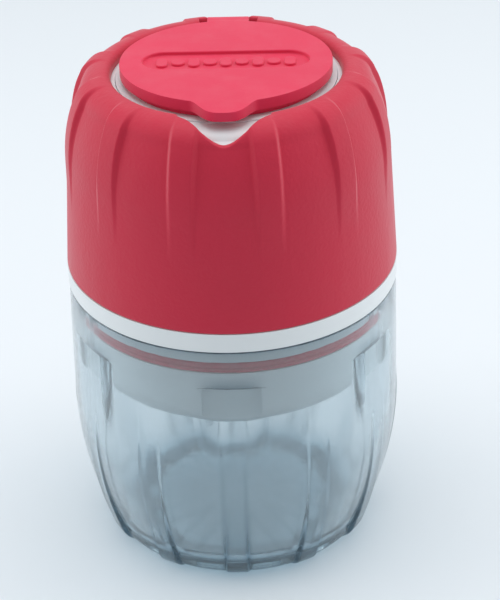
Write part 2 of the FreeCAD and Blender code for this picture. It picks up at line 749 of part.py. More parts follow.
def burr_holder():
    body = turned("burr_holder", [
        (spigot_bore, spigot_end),
        (spigot_radius, spigot_end),
        (spigot_radius, holder_bottom),
        (band_bore - size.holder_play, holder_bottom),
        (band_bore - size.holder_play, holder_top),
        (spigot_bore, holder_top),
    ])
    diagonal = holder_pitch * math.sqrt(0.5)
    well = new_sketch(body, "screw_well", "XY_Plane", lift=holder_bottom)
    circle(well, diagonal, diagonal, size.screw_head + size.holder_play)
    wells = pull(body, well, holder_neck - holder_bottom, cut=True)
    hole = new_sketch(body, "screw_hole", "XY_Plane", lift=holder_bottom)
    circle(hole, diagonal, diagonal, size.screw_radius + size.thread_play)
    holes = pull(body, hole, size.holder_thickness, cut=True)
    around(body, [wells, holes], four, cut=True)
    flange_holes(body, holder_bottom, size.holder_thickness)
    return body


def flange_holes(body, bottom, depth):
    """The holes for the three screws that hold the outer burr's flange to the holder."""
    hole = new_sketch(body, "flange_hole", "XY_Plane", lift=bottom)
    circle(hole, flange_pitch / 2, flange_pitch * math.sqrt(0.75), size.screw_radius + size.thread_play)
    around(body, [pull(body, hole, depth, cut=True)], three, cut=True)


def outer_burr():
    lower = spigot_end + size.grind_height
    body = turned("outer_burr", [
        (grind_radius, spigot_end),
        (outer_burr_radius, spigot_end),
        (outer_burr_radius, holder_top),
        (burr_flange_radius, holder_top),
        (burr_flange_radius, flange_top),
        (burr_neck_radius, flange_top),
        (burr_neck_radius, outer_burr_top),
        (throat, outer_burr_top),
        (grind_radius, lower),
    ])
    tooth = new_sketch(body, "tooth", "XZ_Plane")
    outline(tooth, [
        (throat - overrun, outer_burr_top + overrun),
        (throat + size.tooth_depth, outer_burr_top + overrun),
        (grind_radius + size.tooth_depth / 5, lower),
        (grind_radius - overrun, lower),
    ])
    around(body, [pull(body, tooth, size.tooth_width, cut=True, both=True)], size.tooth_count, cut=True)
    flange_holes(body, holder_top, size.burr_flange)
    return body


def outer_burr_screws():
    head = flange_top + size.screw_head_height
    tip = holder_bottom + size.holder_play
    return screws("outer_burr_screws", flange_pitch, head, flange_top, tip, three, 60)


def holder_screws():
    head = holder_neck - size.screw_head_height
    tip = holder_top + size.holder_screw
    return screws("holder_screws", holder_pitch, head, holder_neck, tip, four, 45)


def retainer_nut():
    """A ring nut on the spigot's end, with notches for a pin spanner in its lower face."""
    body = flat_ring("retainer_nut", spigot_radius + size.thread_play, nut_radius, spigot_end, nut_top)
    notch = new_sketch(body, "notch", "XY_Plane", lift=spigot_end)
    half = size.nut_notch / 2
    outline(notch, [
        (nut_radius - size.nut_wall / 2, -half),
        (nut_radius + overrun, -half),
        (nut_radius + overrun, half),
        (nut_radius - size.nut_wall / 2, half),
    ])
    around(body, [pull(body, notch, size.nut_notch / 2, cut=True)], four, cut=True)
    return body


def thrust_washer_upper():
    return flat_ring("thrust_washer_upper", deck_hole, deck_hole + size.washer_width,
                     deck_top, deck_top + size.washer_thickness)


def thrust_washer_lower():
    return flat_ring("thrust_washer_lower", spigot_radius + size.thread_play, nut_radius,
                     nut_top, nut_top + size.washer_thickness)


def hopper_seal():
    return flat_ring("hopper_seal", hopper_throat, burr_neck_radius, outer_burr_top, hopper_end)


def hopper_funnel():
    straight_end = hopper_top - size.hopper_straight
    return turned("hopper_funnel", [
        (hopper_radius, hopper_top),
        (hopper_radius, straight_end),
        (hopper_throat, hopper_end),
        (burr_neck_radius, hopper_end),
        (hopper_outside, straight_end),
        (hopper_outside, hopper_flange_end),
        (hopper_flange_radius, hopper_flange_end),
        (hopper_flange_radius, hopper_top),
    ])


def head_skin(inset, foot):
    """The head's skin, moved in by inset: from its foot over the waist and the shoulder to the crown."""
    return [
        (band_radius - inset, foot),
        (waist_radius - inset, waist),
        (shoulder_radius - inset * INSET_OUT, shoulder - inset * INSET_DOWN, "Y", barrel_centre),
        (crown_radius, crown - inset, "X", crown_radius),
    ]


def walked_back(path):
    """The same path from its end to its start, with each arc's centre moved to the arc's new end."""
    arcs = [point[2:] for point in path[1:]] + [()]
    return [(*point[:2], *arc) for point, arc in zip(reversed(path), reversed(arcs))]


def notch_outline(sketch, gap):
    """The notch in front of the lid, narrower all round by gap, with a round tip."""
    half = size.notch_width / 2 - gap
    near_tip = size.notch_round - gap
    depth = size.notch_round * NOTCH_BULGE
    tip = -notch_tip + gap
    radius = (near_tip * near_tip + depth * depth) / (depth * 2)
    start = -(mouth_radius - overrun)
    outline(sketch, [
        (half, start),
        (-half, start),
        (-near_tip, tip + depth),
        (near_tip, tip + depth, "Y", tip + radius),
    ])


def head_housing():
    shell = new_body("housing_shell")
    profile = new_sketch(shell, "profile", "XZ_Plane")
    hopper_hole = hopper_outside + size.hopper_play
    flange_seat = hopper_flange_radius + size.hopper_play
    inner_skin = walked_back(head_skin(size.grip_wall + size.housing_wall, holder_top))
    outline(profile, [
        (band_bore, rim + size.head_gap),
        (band_radius, rim + size.head_gap),
        (band_radius, band_top),
        *head_skin(size.grip_wall, band_top),
        (flange_seat, house_deck),
        (flange_seat, hopper_flange_end),
        (hopper_hole, hopper_flange_end),
        (hopper_hole, house_deck - size.housing_wall),
        *inner_skin,
        (band_bore, holder_top),
    ])
    spin(shell, profile)
    diagonal = holder_pitch * math.sqrt(0.5)
    boss = new_sketch(shell, "boss", "XY_Plane", lift=holder_top)
    circle(boss, diagonal, diagonal, size.holder_boss)
    around(shell, [pull(shell, boss, size.holder_boss_height)], four)
    hole = new_sketch(shell, "boss_hole", "XY_Plane", lift=holder_top)
    circle(hole, diagonal, diagonal, size.screw_radius)
    around(shell, [pull(shell, hole, size.holder_boss_height - overrun, cut=True)], four, cut=True)

    land_top = shoulder - size.notch_play
    land_bottom = notch_floor + size.notch_play
    ridge = turned("land_ridge", [
        (flange_seat, house_deck - size.housing_wall / 2),
        (flange_seat, house_deck),
        (notch_tip, land_top),
        (notch_tip, land_bottom),
        (crown_radius + size.housing_wall, land_bottom),
    ])
    wedge = new_body("land_wedge")
    plan = new_sketch(wedge, "plan", "XY_Plane", lift=notch_floor)
    notch_outline(plan, size.notch_play)
    pull(wedge, plan, crown - notch_floor)
    land = doc.addObject("Part::Common", "spout_land")
    land.Base = ridge
    land.Tool = wedge
    housing = doc.addObject("Part::Fuse", "head_housing")
    housing.Base = shell
    housing.Tool = land
    housing.Label = "head_housing"
    doc.recompute()
    return housing


def grip_sleeve():
    foot = band_top + size.grip_bond
    inner_skin = walked_back(head_skin(size.grip_wall - size.grip_bond, foot))
    body = turned("grip_sleeve", [
        *head_skin(ZERO, foot),
        (mouth_radius, crown - size.lip_round, "X", crown_radius),
        (mouth_radius, house_deck + size.grip_bond),
        *inner_skin,
    ])
    grip_ribs(body)
    notch = new_sketch(body, "notch", "XY_Plane", lift=notch_floor)
    notch_outline(notch, ZERO)
    pull(body, notch, crown + overrun - notch_floor, cut=True)
    half = size.strap_width / 2
    outside = half + size.lid_gap
    tongue = hinge_y + size.hinge_radius + size.hinge_play
    slot_end = mouth_radius + size.strap_slot
    slots = new_sketch(body, "strap_slots", "XY_Plane", lift=house_deck)
    start = mouth_radius - overrun
    outline(slots, [
        (-outside, start),
        (outside, start),
        (outside, slot_end),
        (half, slot_end),
        (half, tongue),
        (-half, tongue),
        (-half, slot_end),
        (-outside, slot_end),
    ])
    pull(body, slots, size.grip_wall + overrun, cut=True)
    return body


def grip_ribs(body):
    """Ribs that rise over the shoulder, stand proudest there and run out below the waist."""
    rib = new_sketch(body, "rib", "XZ_Plane", turn=15)
    end = waist - size.grip_rib_tail
    end_radius = waist_radius + size.waist_inset * size.grip_rib_tail / (waist - band_top)
    rise = size.grip_rib_proud * RIB_LIFT
    outline(rib, [
        (crown_radius, crown - size.grip_wall / 2, "X", crown_radius),
        (crown_radius, crown - size.grip_rib_sink),
        (shoulder_radius + rise * 2, shoulder + rise, "X", crown_radius),
        (waist_radius + size.grip_rib_proud / 3, waist, "Y", barrel_centre),
        (end_radius - size.grip_rib_sink / 2, end),
        (end_radius - size.grip_wall / 2, end),
        (waist_radius - size.grip_wall / 2, waist),
        (shoulder_radius - size.grip_wall * ROOT_OUT, shoulder - size.grip_wall * ROOT_DOWN),
    ])
    around(body, [pull(body, rib, size.grip_rib_width, both=True)], size.rib_count)


def lid():
    plug_outer = hopper_radius - size.lid_plug_play
    plug_inner = plug_outer - size.lid_plug_wall
    plug_bottom = hopper_top - size.lid_plug_depth
    seat_radius = lid_radius - size.lid_seat_inset
    edge_radius = lid_radius - size.lid_edge
    body = turned("lid", [
        (0, lid_seat_top),
        (plug_inner, lid_seat_top),
        (plug_inner, plug_bottom),
        (plug_outer, plug_bottom),
        (plug_outer, hopper_top),
        (seat_radius, hopper_top),
        (seat_radius, lid_seat_top),
        (lid_radius, lid_seat_top),
        (lid_radius, lid_top - size.lid_edge),
        (edge_radius, lid_top, "X", edge_radius),
        (0, lid_top),
    ])
    tab = new_sketch(body, "tab", "XY_Plane", lift=lid_top - size.tab_thickness)
    root = -(lid_radius - overrun * 2)
    reach = lid_radius + size.tab_reach
    tip_depth = size.tab_tip / 4
    near_tip = -(reach - tip_depth)
    tip_half = size.tab_tip / 2
    tip_radius = (tip_half * tip_half + tip_depth * tip_depth) / (tip_depth * 2)
    outline(tab, [
        (size.tab_root / 2, root),
        (-size.tab_root / 2, root),
        (-tip_half, near_tip),
        (tip_half, near_tip, "Y", -reach + tip_radius),
    ])
    pull(body, tab, size.tab_thickness)
    strap = new_sketch(body, "strap", "YZ_Plane")
    outline(strap, [
        (lid_radius - overrun, lid_top),
        (lid_radius - overrun, lid_seat_top),
        (hinge_y, hinge_z - size.hinge_radius),
        (hinge_y + size.hinge_radius, hinge_z, "X", hinge_y),
        (hinge_y, hinge_z + size.hinge_radius, "X", hinge_y),
    ])
    pull(body, strap, size.strap_width, both=True)
    label = new_sketch(body, "label", "XY_Plane", lift=lid_top - size.label_depth)
    half_width = size.label_width / 2
    half_length = size.label_length / 2
    straight = half_length - half_width
    outline(label, [
        (-straight, -half_width, "X", -straight),
        (straight, -half_width),
        (half_length, 0, "X", straight),
        (straight, half_width, "X", straight),
        (-straight, half_width),
        (-half_length, 0, "X", -straight),
    ])
    pull(body, label, size.label_depth, cut=True)
    return body


PIECES = [
    jar, mill_base, jar_gasket, burr_carrier, carrier_screws, inner_burr, burr_insert, burr_screw,
    burr_washer, burr_spring, thrust_washer_upper, thrust_washer_lower, retainer_nut, burr_holder,
    holder_screws, outer_burr, outer_burr_screws, hopper_seal, hopper_funnel, head_housing, grip_sleeve, lid,
]

pieces = [build() for build in PIECES]
doc.recompute()

for item in doc.Objects:
    if "Invalid" in item.State or "Error" in item.State:
        raise RuntimeError(f"{item.Label}: {item.State}")
for piece in pieces:
    if piece.Shape.isNull() or not piece.Shape.isValid():
        raise RuntimeError(f"{piece.Label}: its shape is not a valid solid")

os.makedirs("parts", exist_ok=True)
for piece in pieces:
    piece.Shape.exportStep(f"parts/{piece.Label}.step")
    print(f"{piece.Label}: {len(piece.Shape.Solids)} solid(s), {piece.Shape.Volume:.0f} mm3")
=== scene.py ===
# %% [markdown]
# # A hand-twist pill crusher, finished in Blender
#
# The object is a small mill for tablets. A clear, ribbed jar catches the powder. A white plug with
# the burrs stands in the jar's mouth, and a head with a soft red grip turns on it. A soft red lid
# closes the hopper. The CAD model already says where every part is and how it moves, so it is
# loaded first and nothing in it is moved. The lesson dresses it: some CAD parts only get a better
# finish, and the parts that the eye rests on are modelled again, inside the same space.

# %% Load the frame
import json
import math
from bisect import bisect_left

import bmesh
import bpy
from mathutils import Euler, Matrix, Vector


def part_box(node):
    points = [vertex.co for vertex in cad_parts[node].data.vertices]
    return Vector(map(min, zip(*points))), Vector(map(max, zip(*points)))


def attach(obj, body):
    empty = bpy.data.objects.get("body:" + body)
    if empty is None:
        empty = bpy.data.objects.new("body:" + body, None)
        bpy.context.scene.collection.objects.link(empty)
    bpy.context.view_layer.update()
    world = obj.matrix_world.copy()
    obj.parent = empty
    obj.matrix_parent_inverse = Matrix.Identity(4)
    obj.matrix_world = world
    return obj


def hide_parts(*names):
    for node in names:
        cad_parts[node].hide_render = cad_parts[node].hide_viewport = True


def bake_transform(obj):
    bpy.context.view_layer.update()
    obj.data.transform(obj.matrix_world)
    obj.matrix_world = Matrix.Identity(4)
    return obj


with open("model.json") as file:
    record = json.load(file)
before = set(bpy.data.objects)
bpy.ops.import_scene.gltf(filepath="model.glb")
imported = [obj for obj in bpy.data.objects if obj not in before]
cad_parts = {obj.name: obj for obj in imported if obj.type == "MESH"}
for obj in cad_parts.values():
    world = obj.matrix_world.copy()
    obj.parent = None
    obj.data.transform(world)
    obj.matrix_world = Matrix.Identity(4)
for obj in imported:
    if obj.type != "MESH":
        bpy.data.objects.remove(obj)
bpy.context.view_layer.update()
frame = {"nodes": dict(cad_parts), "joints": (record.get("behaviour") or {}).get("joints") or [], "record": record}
print("CAD parts:", ", ".join(sorted(frame["nodes"])))

# %% [markdown]
# ## The heights that everything hangs on
#
# A piece has to sit where the frame says, so the main heights and radii are read from the CAD
# parts' boxes. They could be typed in, but then a change to the part would leave the pieces behind.
# Lengths in this lesson are in millimetres until a piece is finished, because that is how a maker
# thinks of a jar of this size. Blender works in metres, so the last step of each piece scales it.

# %% Read the main sizes
MM = 0.001


def box_mm(node):
    """Lowest and highest corner of a CAD part, in millimetres."""
    low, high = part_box(node)
    return low / MM, high / MM


RIM = box_mm("jar")[1].z
JAR_REACH = max(box_mm("jar")[1].x, box_mm("jar")[1].y)
GRIP_FOOT = box_mm("grip_sleeve")[0].z
CROWN_OVER_HOUSING = 2.0
CROWN = box_mm("head_housing")[1].z + CROWN_OVER_HOUSING
LID_TOP = box_mm("lid")[1].z
HINGE = Vector(next(j for j in frame["joints"] if j["name"] == "lid_hinge")["pos_m"]) / MM
print(f"rim {RIM:.2f}, jar {JAR_REACH:.2f} wide either way, lid {LID_TOP:.2f} mm")
print(f"grip from {GRIP_FOOT:.2f} to {CROWN:.2f} mm")

# %% [markdown]
# ## The camera
#
# The crusher stands on a table and is seen from above at about thirty degrees, from a little way
# off, so its sides hardly converge. A camera could be placed by dragging it about. Setting it by
# direction, distance and a small lean gives the same result every time. The lens shift only moves
# the frame, so that the crusher stands a little left of the middle and low enough.

# %% Place the camera
VIEW_AZIMUTH, VIEW_ELEVATION = math.radians(1.8), math.radians(29.65)
VIEW_DISTANCE, VIEW_LEAN = 0.380, math.radians(-1.83)
LENS_MM, SHIFT_RIGHT, SHIFT_UP = 112.86, 0.0292, -0.0552
aim = Vector((0, 0, RIM * MM))
towards_camera = Vector((
    math.sin(VIEW_AZIMUTH) * math.cos(VIEW_ELEVATION),
    -math.cos(VIEW_AZIMUTH) * math.cos(VIEW_ELEVATION),
    math.sin(VIEW_ELEVATION),
))
camera_data = bpy.data.cameras.new("studio_camera")
camera_data.lens = LENS_MM
camera_data.shift_x, camera_data.shift_y = SHIFT_RIGHT, SHIFT_UP
camera = bpy.data.objects.new("studio_camera", camera_data)
camera.location = aim + towards_camera * VIEW_DISTANCE
camera.rotation_euler = (
    (-towards_camera).to_track_quat("-Z", "Y").to_matrix() @ Matrix.Rotation(VIEW_LEAN, 3, "Z")
).to_euler()
bpy.context.scene.collection.objects.link(camera)
bpy.context.scene.camera = camera
print("camera at", [round(x, 3) for x in camera.location])

# %% [markdown]
# ## The studio
#
# A clear jar shows its surroundings more than itself, so the light is part of the model. Two tall
# soft lights stand at the sides and a wide one hangs overhead. The side towards the camera stays
# dim, which draws the dark lines along the edges of the clear plastic and leaves the middle of the
# red grip darker than its flanks. One lamp from the front would be simpler, and would make the jar
# vanish. The lamps light the scene and show in reflections, but the camera doesn't see them
# directly, so none of them stands in the picture behind the crusher.

# %% Hang the lights
def soft_light(name, place, size, watts, tint):
    """A rectangular lamp that faces the middle of the crusher."""
    data = bpy.data.lights.new(name, "AREA")
    data.shape = "RECTANGLE"
    data.size, data.size_y = size
    data.energy = watts
    data.color = tint
    lamp = bpy.data.objects.new(name, data)
    lamp.location = place
    lamp.visible_camera = False
    lamp.rotation_euler = (aim - lamp.location).to_track_quat("-Z", "Y").to_euler()
    bpy.context.scene.collection.objects.link(lamp)


COOL_WHITE = (0.98, 0.99, 1.0)
soft_light("overhead", (0.0, 0.06, 0.72), (0.70, 0.60), 2.85, COOL_WHITE)
soft_light("left_side", (-0.55, 0.05, 0.26), (0.45, 0.55), 1.3, COOL_WHITE)
soft_light("right_side", (0.55, 0.10, 0.26), (0.45, 0.55), 1.5, COOL_WHITE)
bpy.context.scene.view_settings.view_transform = "Standard"
print("lamps:", len(bpy.data.lights))

# %% [markdown]
# ## Tools for finishes
#
# A Blender material is a graph of nodes. Each finish here is a Principled BSDF fed by a few small
# effects. Writing every node out takes four lines, so one helper makes a node, sets its values and
# joins its inputs, and short ones make the nodes that are used most. The last makes the shell of an
# effect: a node group with named inputs and outputs, which any material can use with its own numbers.

# %% Helpers for nodes
def put(tree, kind, values=None, **settings):
    """A new node with its settings, and with its inputs joined to sockets or set to values."""
    node = tree.nodes.new(kind)
    for key, value in settings.items():
        setattr(node, key, value)
    for key, value in (values or {}).items():
        if isinstance(value, bpy.types.NodeSocket):
            tree.links.new(value, node.inputs[key])
        else:
            node.inputs[key].default_value = value
    return node


def mixed(tree, factor, first, second):
    """A colour between two others. Each is a socket, or red, green and blue."""
    sockets = bpy.types.NodeSocket
    first, second = (end if isinstance(end, sockets) else (*end, 1) for end in (first, second))
    node = put(tree, "ShaderNodeMix", {"Factor": factor, 6: first, 7: second}, data_type="RGBA")
    return node.outputs[2]


def noise(tree, place, scale, **more):
    """The strength of a noise texture, which drifts between 0 and 1."""
    return put(tree, "ShaderNodeTexNoise", {"Vector": place, "Scale": scale, **more}).outputs["Fac"]


def ranged(tree, value, low, high, to_low=0.0, to_high=1.0):
    """A value rescaled so that low and high become two others."""
    return put(tree, "ShaderNodeMapRange", {
        "Value": value, "From Min": low, "From Max": high, "To Min": to_low, "To Max": to_high,
    }).outputs["Result"]


def times(tree, first, second, **more):
    """Two values multiplied."""
    return put(tree, "ShaderNodeMath", {0: first, 1: second}, operation="MULTIPLY", **more).outputs[0]


def start_effect(name, inputs, outputs):
    """An empty node group that takes a vector and numbers: the group, and its sockets inside."""
    group = bpy.data.node_groups.new(name, "ShaderNodeTree")
    group.interface.new_socket("Vector", in_out="INPUT", socket_type="NodeSocketVector")
    for socket, value in inputs.items():
        made = group.interface.new_socket(socket, in_out="INPUT", socket_type="NodeSocketFloat")
        made.default_value = value
    for socket in outputs:
        group.interface.new_socket(socket, in_out="OUTPUT", socket_type="NodeSocketFloat")
    return group, group.nodes.new("NodeGroupInput").outputs, group.nodes.new("NodeGroupOutput").inputs


def fresh_tree(name):
    """A new material with an empty node graph."""
    made = bpy.data.materials.new(name)
    made.use_nodes = True
    made.node_tree.nodes.clear()
    return made, made.node_tree


# %% [markdown]
# ## Effect: the grain of a mould
#
# Soft grips and matt mouldings copy the fine sand-blasted grain of their steel mould. A picture of
# grain would need UV maps on every part. Two noises, one fine and one a little coarser, give the
# same look on any shape from the object's own coordinates. The group gives a height for a Bump
# node, and a slow mottle that a material can use to vary its colour.

# %% Build the grain group
mould_grain, grain_in, grain_out = start_effect(
    "mould_grain", {"Fineness": 2600.0, "Coarse Share": 0.4}, ["Height", "Mottle"])
fine = noise(mould_grain, grain_in["Vector"], grain_in["Fineness"], Detail=2.0)
coarse_scale = times(mould_grain, grain_in["Fineness"], 0.3)
coarse = noise(mould_grain, grain_in["Vector"], coarse_scale, Detail=1.0)
both_grains = put(mould_grain, "ShaderNodeMix", {
    "Factor": grain_in["Coarse Share"], "A": fine, "B": coarse})
slow = noise(mould_grain, grain_in["Vector"], 70.0, Detail=3.0, Roughness=0.6)
mould_grain.links.new(both_grains.outputs["Result"], grain_out["Height"])
mould_grain.links.new(slow, grain_out["Mottle"])
print("effect:", mould_grain.name)

# %% [markdown]
# ## Effect: rubbed edges
#
# Hands and cloths polish the edges of a part first. An artist could paint that by hand. The Bevel
# node rounds the surface's direction near an edge, so where the rounded direction and the true one
# part, there is an edge. A noise breaks the line up, because wear is never even.

# %% Build the edge group
rubbed_edges, rub_in, rub_out = start_effect(
    "rubbed_edges", {"Width": 0.0004, "Amount": 1.0}, ["Mask"])
rounded = put(rubbed_edges, "ShaderNodeBevel", {"Radius": rub_in["Width"]}, samples=4)
true_way = put(rubbed_edges, "ShaderNodeNewGeometry")
agreement = put(rubbed_edges, "ShaderNodeVectorMath", {
    0: rounded.outputs["Normal"], 1: true_way.outputs["Normal"]}, operation="DOT_PRODUCT")
parted = ranged(rubbed_edges, agreement.outputs["Value"], 0.99, 0.80)
patchy = noise(rubbed_edges, rub_in["Vector"], 420.0, Detail=3.0)
broken = times(rubbed_edges, parted, patchy)
rubbed_edges.links.new(
    times(rubbed_edges, broken, rub_in["Amount"], use_clamp=True), rub_out["Mask"])
print("effect:", rubbed_edges.name)

# %% [markdown]
# ## Effect: wiping marks
#
# Polished plastic picks up hairlines from being wiped, and faint smears. Real scratches could be
# modelled, but they are thinner than any mesh edge. A noise stretched a hundred times one way looks
# like hairlines. A slow noise makes the smears. The group gives a roughness to use as it is, and a
# height for the hairlines.

# %% Build the wiping group
wiping_marks, wipe_in, wipe_out = start_effect(
    "wiping_marks", {"Clean Roughness": 0.1, "Smeared Roughness": 0.2, "Hairlines": 0.5},
    ["Roughness", "Height"])
stretch = put(wiping_marks, "ShaderNodeMapping", {
    "Vector": wipe_in["Vector"], "Rotation": Euler((0.3, 0.2, 0.7)),
    "Scale": Vector((30.0, 2600.0, 900.0))})
hairlines = noise(wiping_marks, stretch.outputs["Vector"], 1.0, Detail=1.0)
thin = ranged(wiping_marks, hairlines, 0.66, 0.74)
smears = noise(wiping_marks, wipe_in["Vector"], 55.0, Detail=4.0, Distortion=0.8)
smear_level = ranged(
    wiping_marks, smears, 0.35, 0.75, wipe_in["Clean Roughness"], wipe_in["Smeared Roughness"])
wiping_marks.links.new(smear_level, wipe_out["Roughness"])
wiping_marks.links.new(times(wiping_marks, thin, wipe_in["Hairlines"]), wipe_out["Height"])
print("effect:", wiping_marks.name)

# %% [markdown]
# ## Effect: settled dust
#
# A pill crusher is never quite free of fine powder. Dust lies on faces that look up, in patches.
# The surface's own direction says how much a face looks up, and a noise makes the patches. A real
# particle system would be far heavier, for specks too small to see.

# %% Build the dust group
settled_dust, dust_in, dust_out = start_effect("settled_dust", {"Amount": 0.1}, ["Mask"])
facing = put(settled_dust, "ShaderNodeNewGeometry")
upward = put(settled_dust, "ShaderNodeSeparateXYZ", {0: facing.outputs["Normal"]})
looks_up = ranged(settled_dust, upward.outputs["Z"], 0.35, 1.0)
patches = noise(settled_dust, dust_in["Vector"], 190.0, Detail=5.0, Roughness=0.7)
lying = times(settled_dust, looks_up, ranged(settled_dust, patches, 0.42, 0.75))
settled_dust.links.new(
    times(settled_dust, lying, dust_in["Amount"], use_clamp=True), dust_out["Mask"])
print("effect:", settled_dust.name)


# %% [markdown]
# ## One recipe for the solid finishes
#
# The red rubber, the white plastic, the burrs and the waxy washers differ in colour, grain and
# shine, but are built the same way: a colour that drifts between two tones, lighter where edges are
# rubbed and where dust lies, over a grain. One function that takes those numbers keeps them alike
# and easy to compare. Copying the graph five times would hide which numbers matter.

# %% Write the recipe
POWDER = (0.85, 0.85, 0.83)


def moulded(name, deep, light, edge, roughness, grain, height, dust=0.05, rub=0.5, **shader):
    """A moulded finish: two tones, a rubbed-edge tone, a roughness, a grain and its height."""
    made, tree = fresh_tree(name)
    place = put(tree, "ShaderNodeTexCoord").outputs["Object"]
    grained = put(tree, "ShaderNodeGroup", {"Vector": place, "Fineness": grain}, node_tree=mould_grain)
    rubbed = put(tree, "ShaderNodeGroup", {"Vector": place, "Amount": rub}, node_tree=rubbed_edges)
    dusty = put(tree, "ShaderNodeGroup", {"Vector": place, "Amount": dust}, node_tree=settled_dust)
    tones = mixed(tree, grained.outputs["Mottle"], deep, light)
    worn = mixed(tree, rubbed.outputs["Mask"], tones, edge)
    powdered = mixed(tree, dusty.outputs["Mask"], worn, POWDER)
    polish = ranged(tree, grained.outputs["Mottle"], 0.3, 0.7, roughness * 0.9, roughness * 1.1)
    bump = put(tree, "ShaderNodeBump", {
        "Height": grained.outputs["Height"], "Distance": height, "Strength": 1.0})
    skin = put(tree, "ShaderNodeBsdfPrincipled", {
        "Base Color": powdered, "Roughness": polish, "Normal": bump.outputs["Normal"], **shader})
    put(tree, "ShaderNodeOutputMaterial", {"Surface": skin.outputs[0]})
    return made


# %% [markdown]
# ## The solid finishes
#
# The grip and the lid are a soft red compound, matt, with a slight sheen where light grazes it. The
# lid has a weaker grain, and it gets a lighter copy of the red: that lighter red is painted light, for
# the overhead lamp falling on the lid's upturned top. The white parts are a hard, satin plastic. The
# burrs are a fired ceramic, paler and rougher. The thrust washers are a waxy bearing plastic that
# lets a little light in, which a touch of subsurface gives.

# %% Mix the solid finishes
SOFT_COMPOUND = {"Specular IOR Level": 0.35, "Subsurface Weight": 0.06,
                 "Subsurface Radius": (0.002, 0.0006, 0.0005)}
soft_red_grip = moulded(
    "soft_red_grip", (0.53, 0.012, 0.041), (0.58, 0.017, 0.051), (0.60, 0.022, 0.058),
    roughness=0.62, grain=1500.0, height=0.00010, dust=0.02, rub=0.2,
    **{"Sheen Weight": 0.25, "Sheen Roughness": 0.45}, **SOFT_COMPOUND)
# The lid's red is the grip's red made lighter: painted light for the overhead lamp on its top. Its weaker grain is
# its own.
lid_red_painted_light = moulded(
    "lid_red_painted_light", (0.67, 0.020, 0.070), (0.74, 0.026, 0.084), (0.78, 0.040, 0.10),
    roughness=0.56, grain=2600.0, height=0.00002, dust=0.03, rub=0.3,
    **{"Sheen Weight": 0.2, "Sheen Roughness": 0.4}, **SOFT_COMPOUND)
satin_white = moulded(
    "satin_white", (0.74, 0.775, 0.785), (0.80, 0.83, 0.84), (0.87, 0.89, 0.90),
    roughness=0.34, grain=3200.0, height=0.00001, dust=0.06, rub=0.25)
fired_ceramic = moulded(
    "fired_ceramic", (0.62, 0.60, 0.55), (0.72, 0.70, 0.65), (0.82, 0.81, 0.78),
    roughness=0.58, grain=2000.0, height=0.00005, dust=0.35, rub=0.5)
waxy_washer = moulded(
    "waxy_washer", (0.66, 0.66, 0.61), (0.72, 0.72, 0.68), (0.80, 0.80, 0.78),
    roughness=0.40, grain=2400.0, height=0.00001, rub=0.3,
    **{"Subsurface Weight": 0.2, "Subsurface Radius": (0.001, 0.001, 0.0008)})
print("solid finishes:", sorted(made.name for made in bpy.data.materials))

# %% [markdown]
# ## The clear plastic
#
# The jar is a hard, clear, faintly blue-grey plastic. Making it see-through with alpha would lose
# the bright and dark lines that bent light draws along its ribs. So it is a solid wall with real
# thickness, nearly full transmission and an index of 1.5. A slight haze and hairlines come from the
# wiping marks, and absorption inside the wall makes thick places darker. The shape marks the rim and
# the sides of ribs and keys in a layer of its own, and the colour deepens there. That deeper colour
# is painted shade: it stands in for the dark lines that bent light draws along ribs and keys, and for
# the shadow in the thin gap between the rim and the white band. Light that is bent on its way to the
# table would need very many samples, so shadow rays go straight through.

# %% Mix the clear plastic
clear_jar_plastic, clear_tree = fresh_tree("clear_jar_plastic")
clear_place = put(clear_tree, "ShaderNodeTexCoord").outputs["Object"]
wiped = put(clear_tree, "ShaderNodeGroup", {
    "Vector": clear_place, "Clean Roughness": 0.10, "Smeared Roughness": 0.16}, node_tree=wiping_marks)
hair_bump = put(clear_tree, "ShaderNodeBump", {
    "Height": wiped.outputs["Height"], "Distance": 0.000004, "Strength": 0.5}, invert=True)
clear_grain = put(clear_tree, "ShaderNodeGroup", {"Vector": clear_place}, node_tree=mould_grain)
clear_drift = mixed(
    clear_tree, clear_grain.outputs["Mottle"], (0.88, 0.925, 0.945), (0.92, 0.955, 0.97))
# Painted shade: the colour darkens towards a deep blue-grey where the jar's point layer marks rib and key sides
# and the rim.
painted_shade_mark = put(clear_tree, "ShaderNodeAttribute", attribute_name="painted_edge_shade")
clear_colour = mixed(clear_tree, painted_shade_mark.outputs["Fac"], clear_drift, (0.30, 0.42, 0.50))
clear_skin = put(clear_tree, "ShaderNodeBsdfPrincipled", {
    "Base Color": clear_colour, "Roughness": wiped.outputs["Roughness"],
    "Normal": hair_bump.outputs["Normal"], "Transmission Weight": 0.92, "IOR": 1.5})
casts_shadow = put(clear_tree, "ShaderNodeLightPath").outputs["Is Shadow Ray"]
let_through = put(clear_tree, "ShaderNodeBsdfTransparent", {"Color": (0.84, 0.90, 0.93, 1)})
clear_mix = put(clear_tree, "ShaderNodeMixShader", {
    0: casts_shadow, 1: clear_skin.outputs[0], 2: let_through.outputs[0]})
smoke = put(clear_tree, "ShaderNodeVolumeAbsorption", {
    "Color": (0.40, 0.60, 0.68, 1), "Density": 62.0})
put(clear_tree, "ShaderNodeOutputMaterial", {
    "Surface": clear_mix.outputs[0], "Volume": smoke.outputs[0]})
print("clear plastic ready")


# %% [markdown]
# ## The metals
#
# The screws, the spring and the washer are bright steel and the insert in the burr is brass. Metal
# parts this small are turned on a lathe, which leaves rings too fine to model. A wave texture in
# rings round the vertical axis, with a little noise in it, roughens the shine in the same pattern.

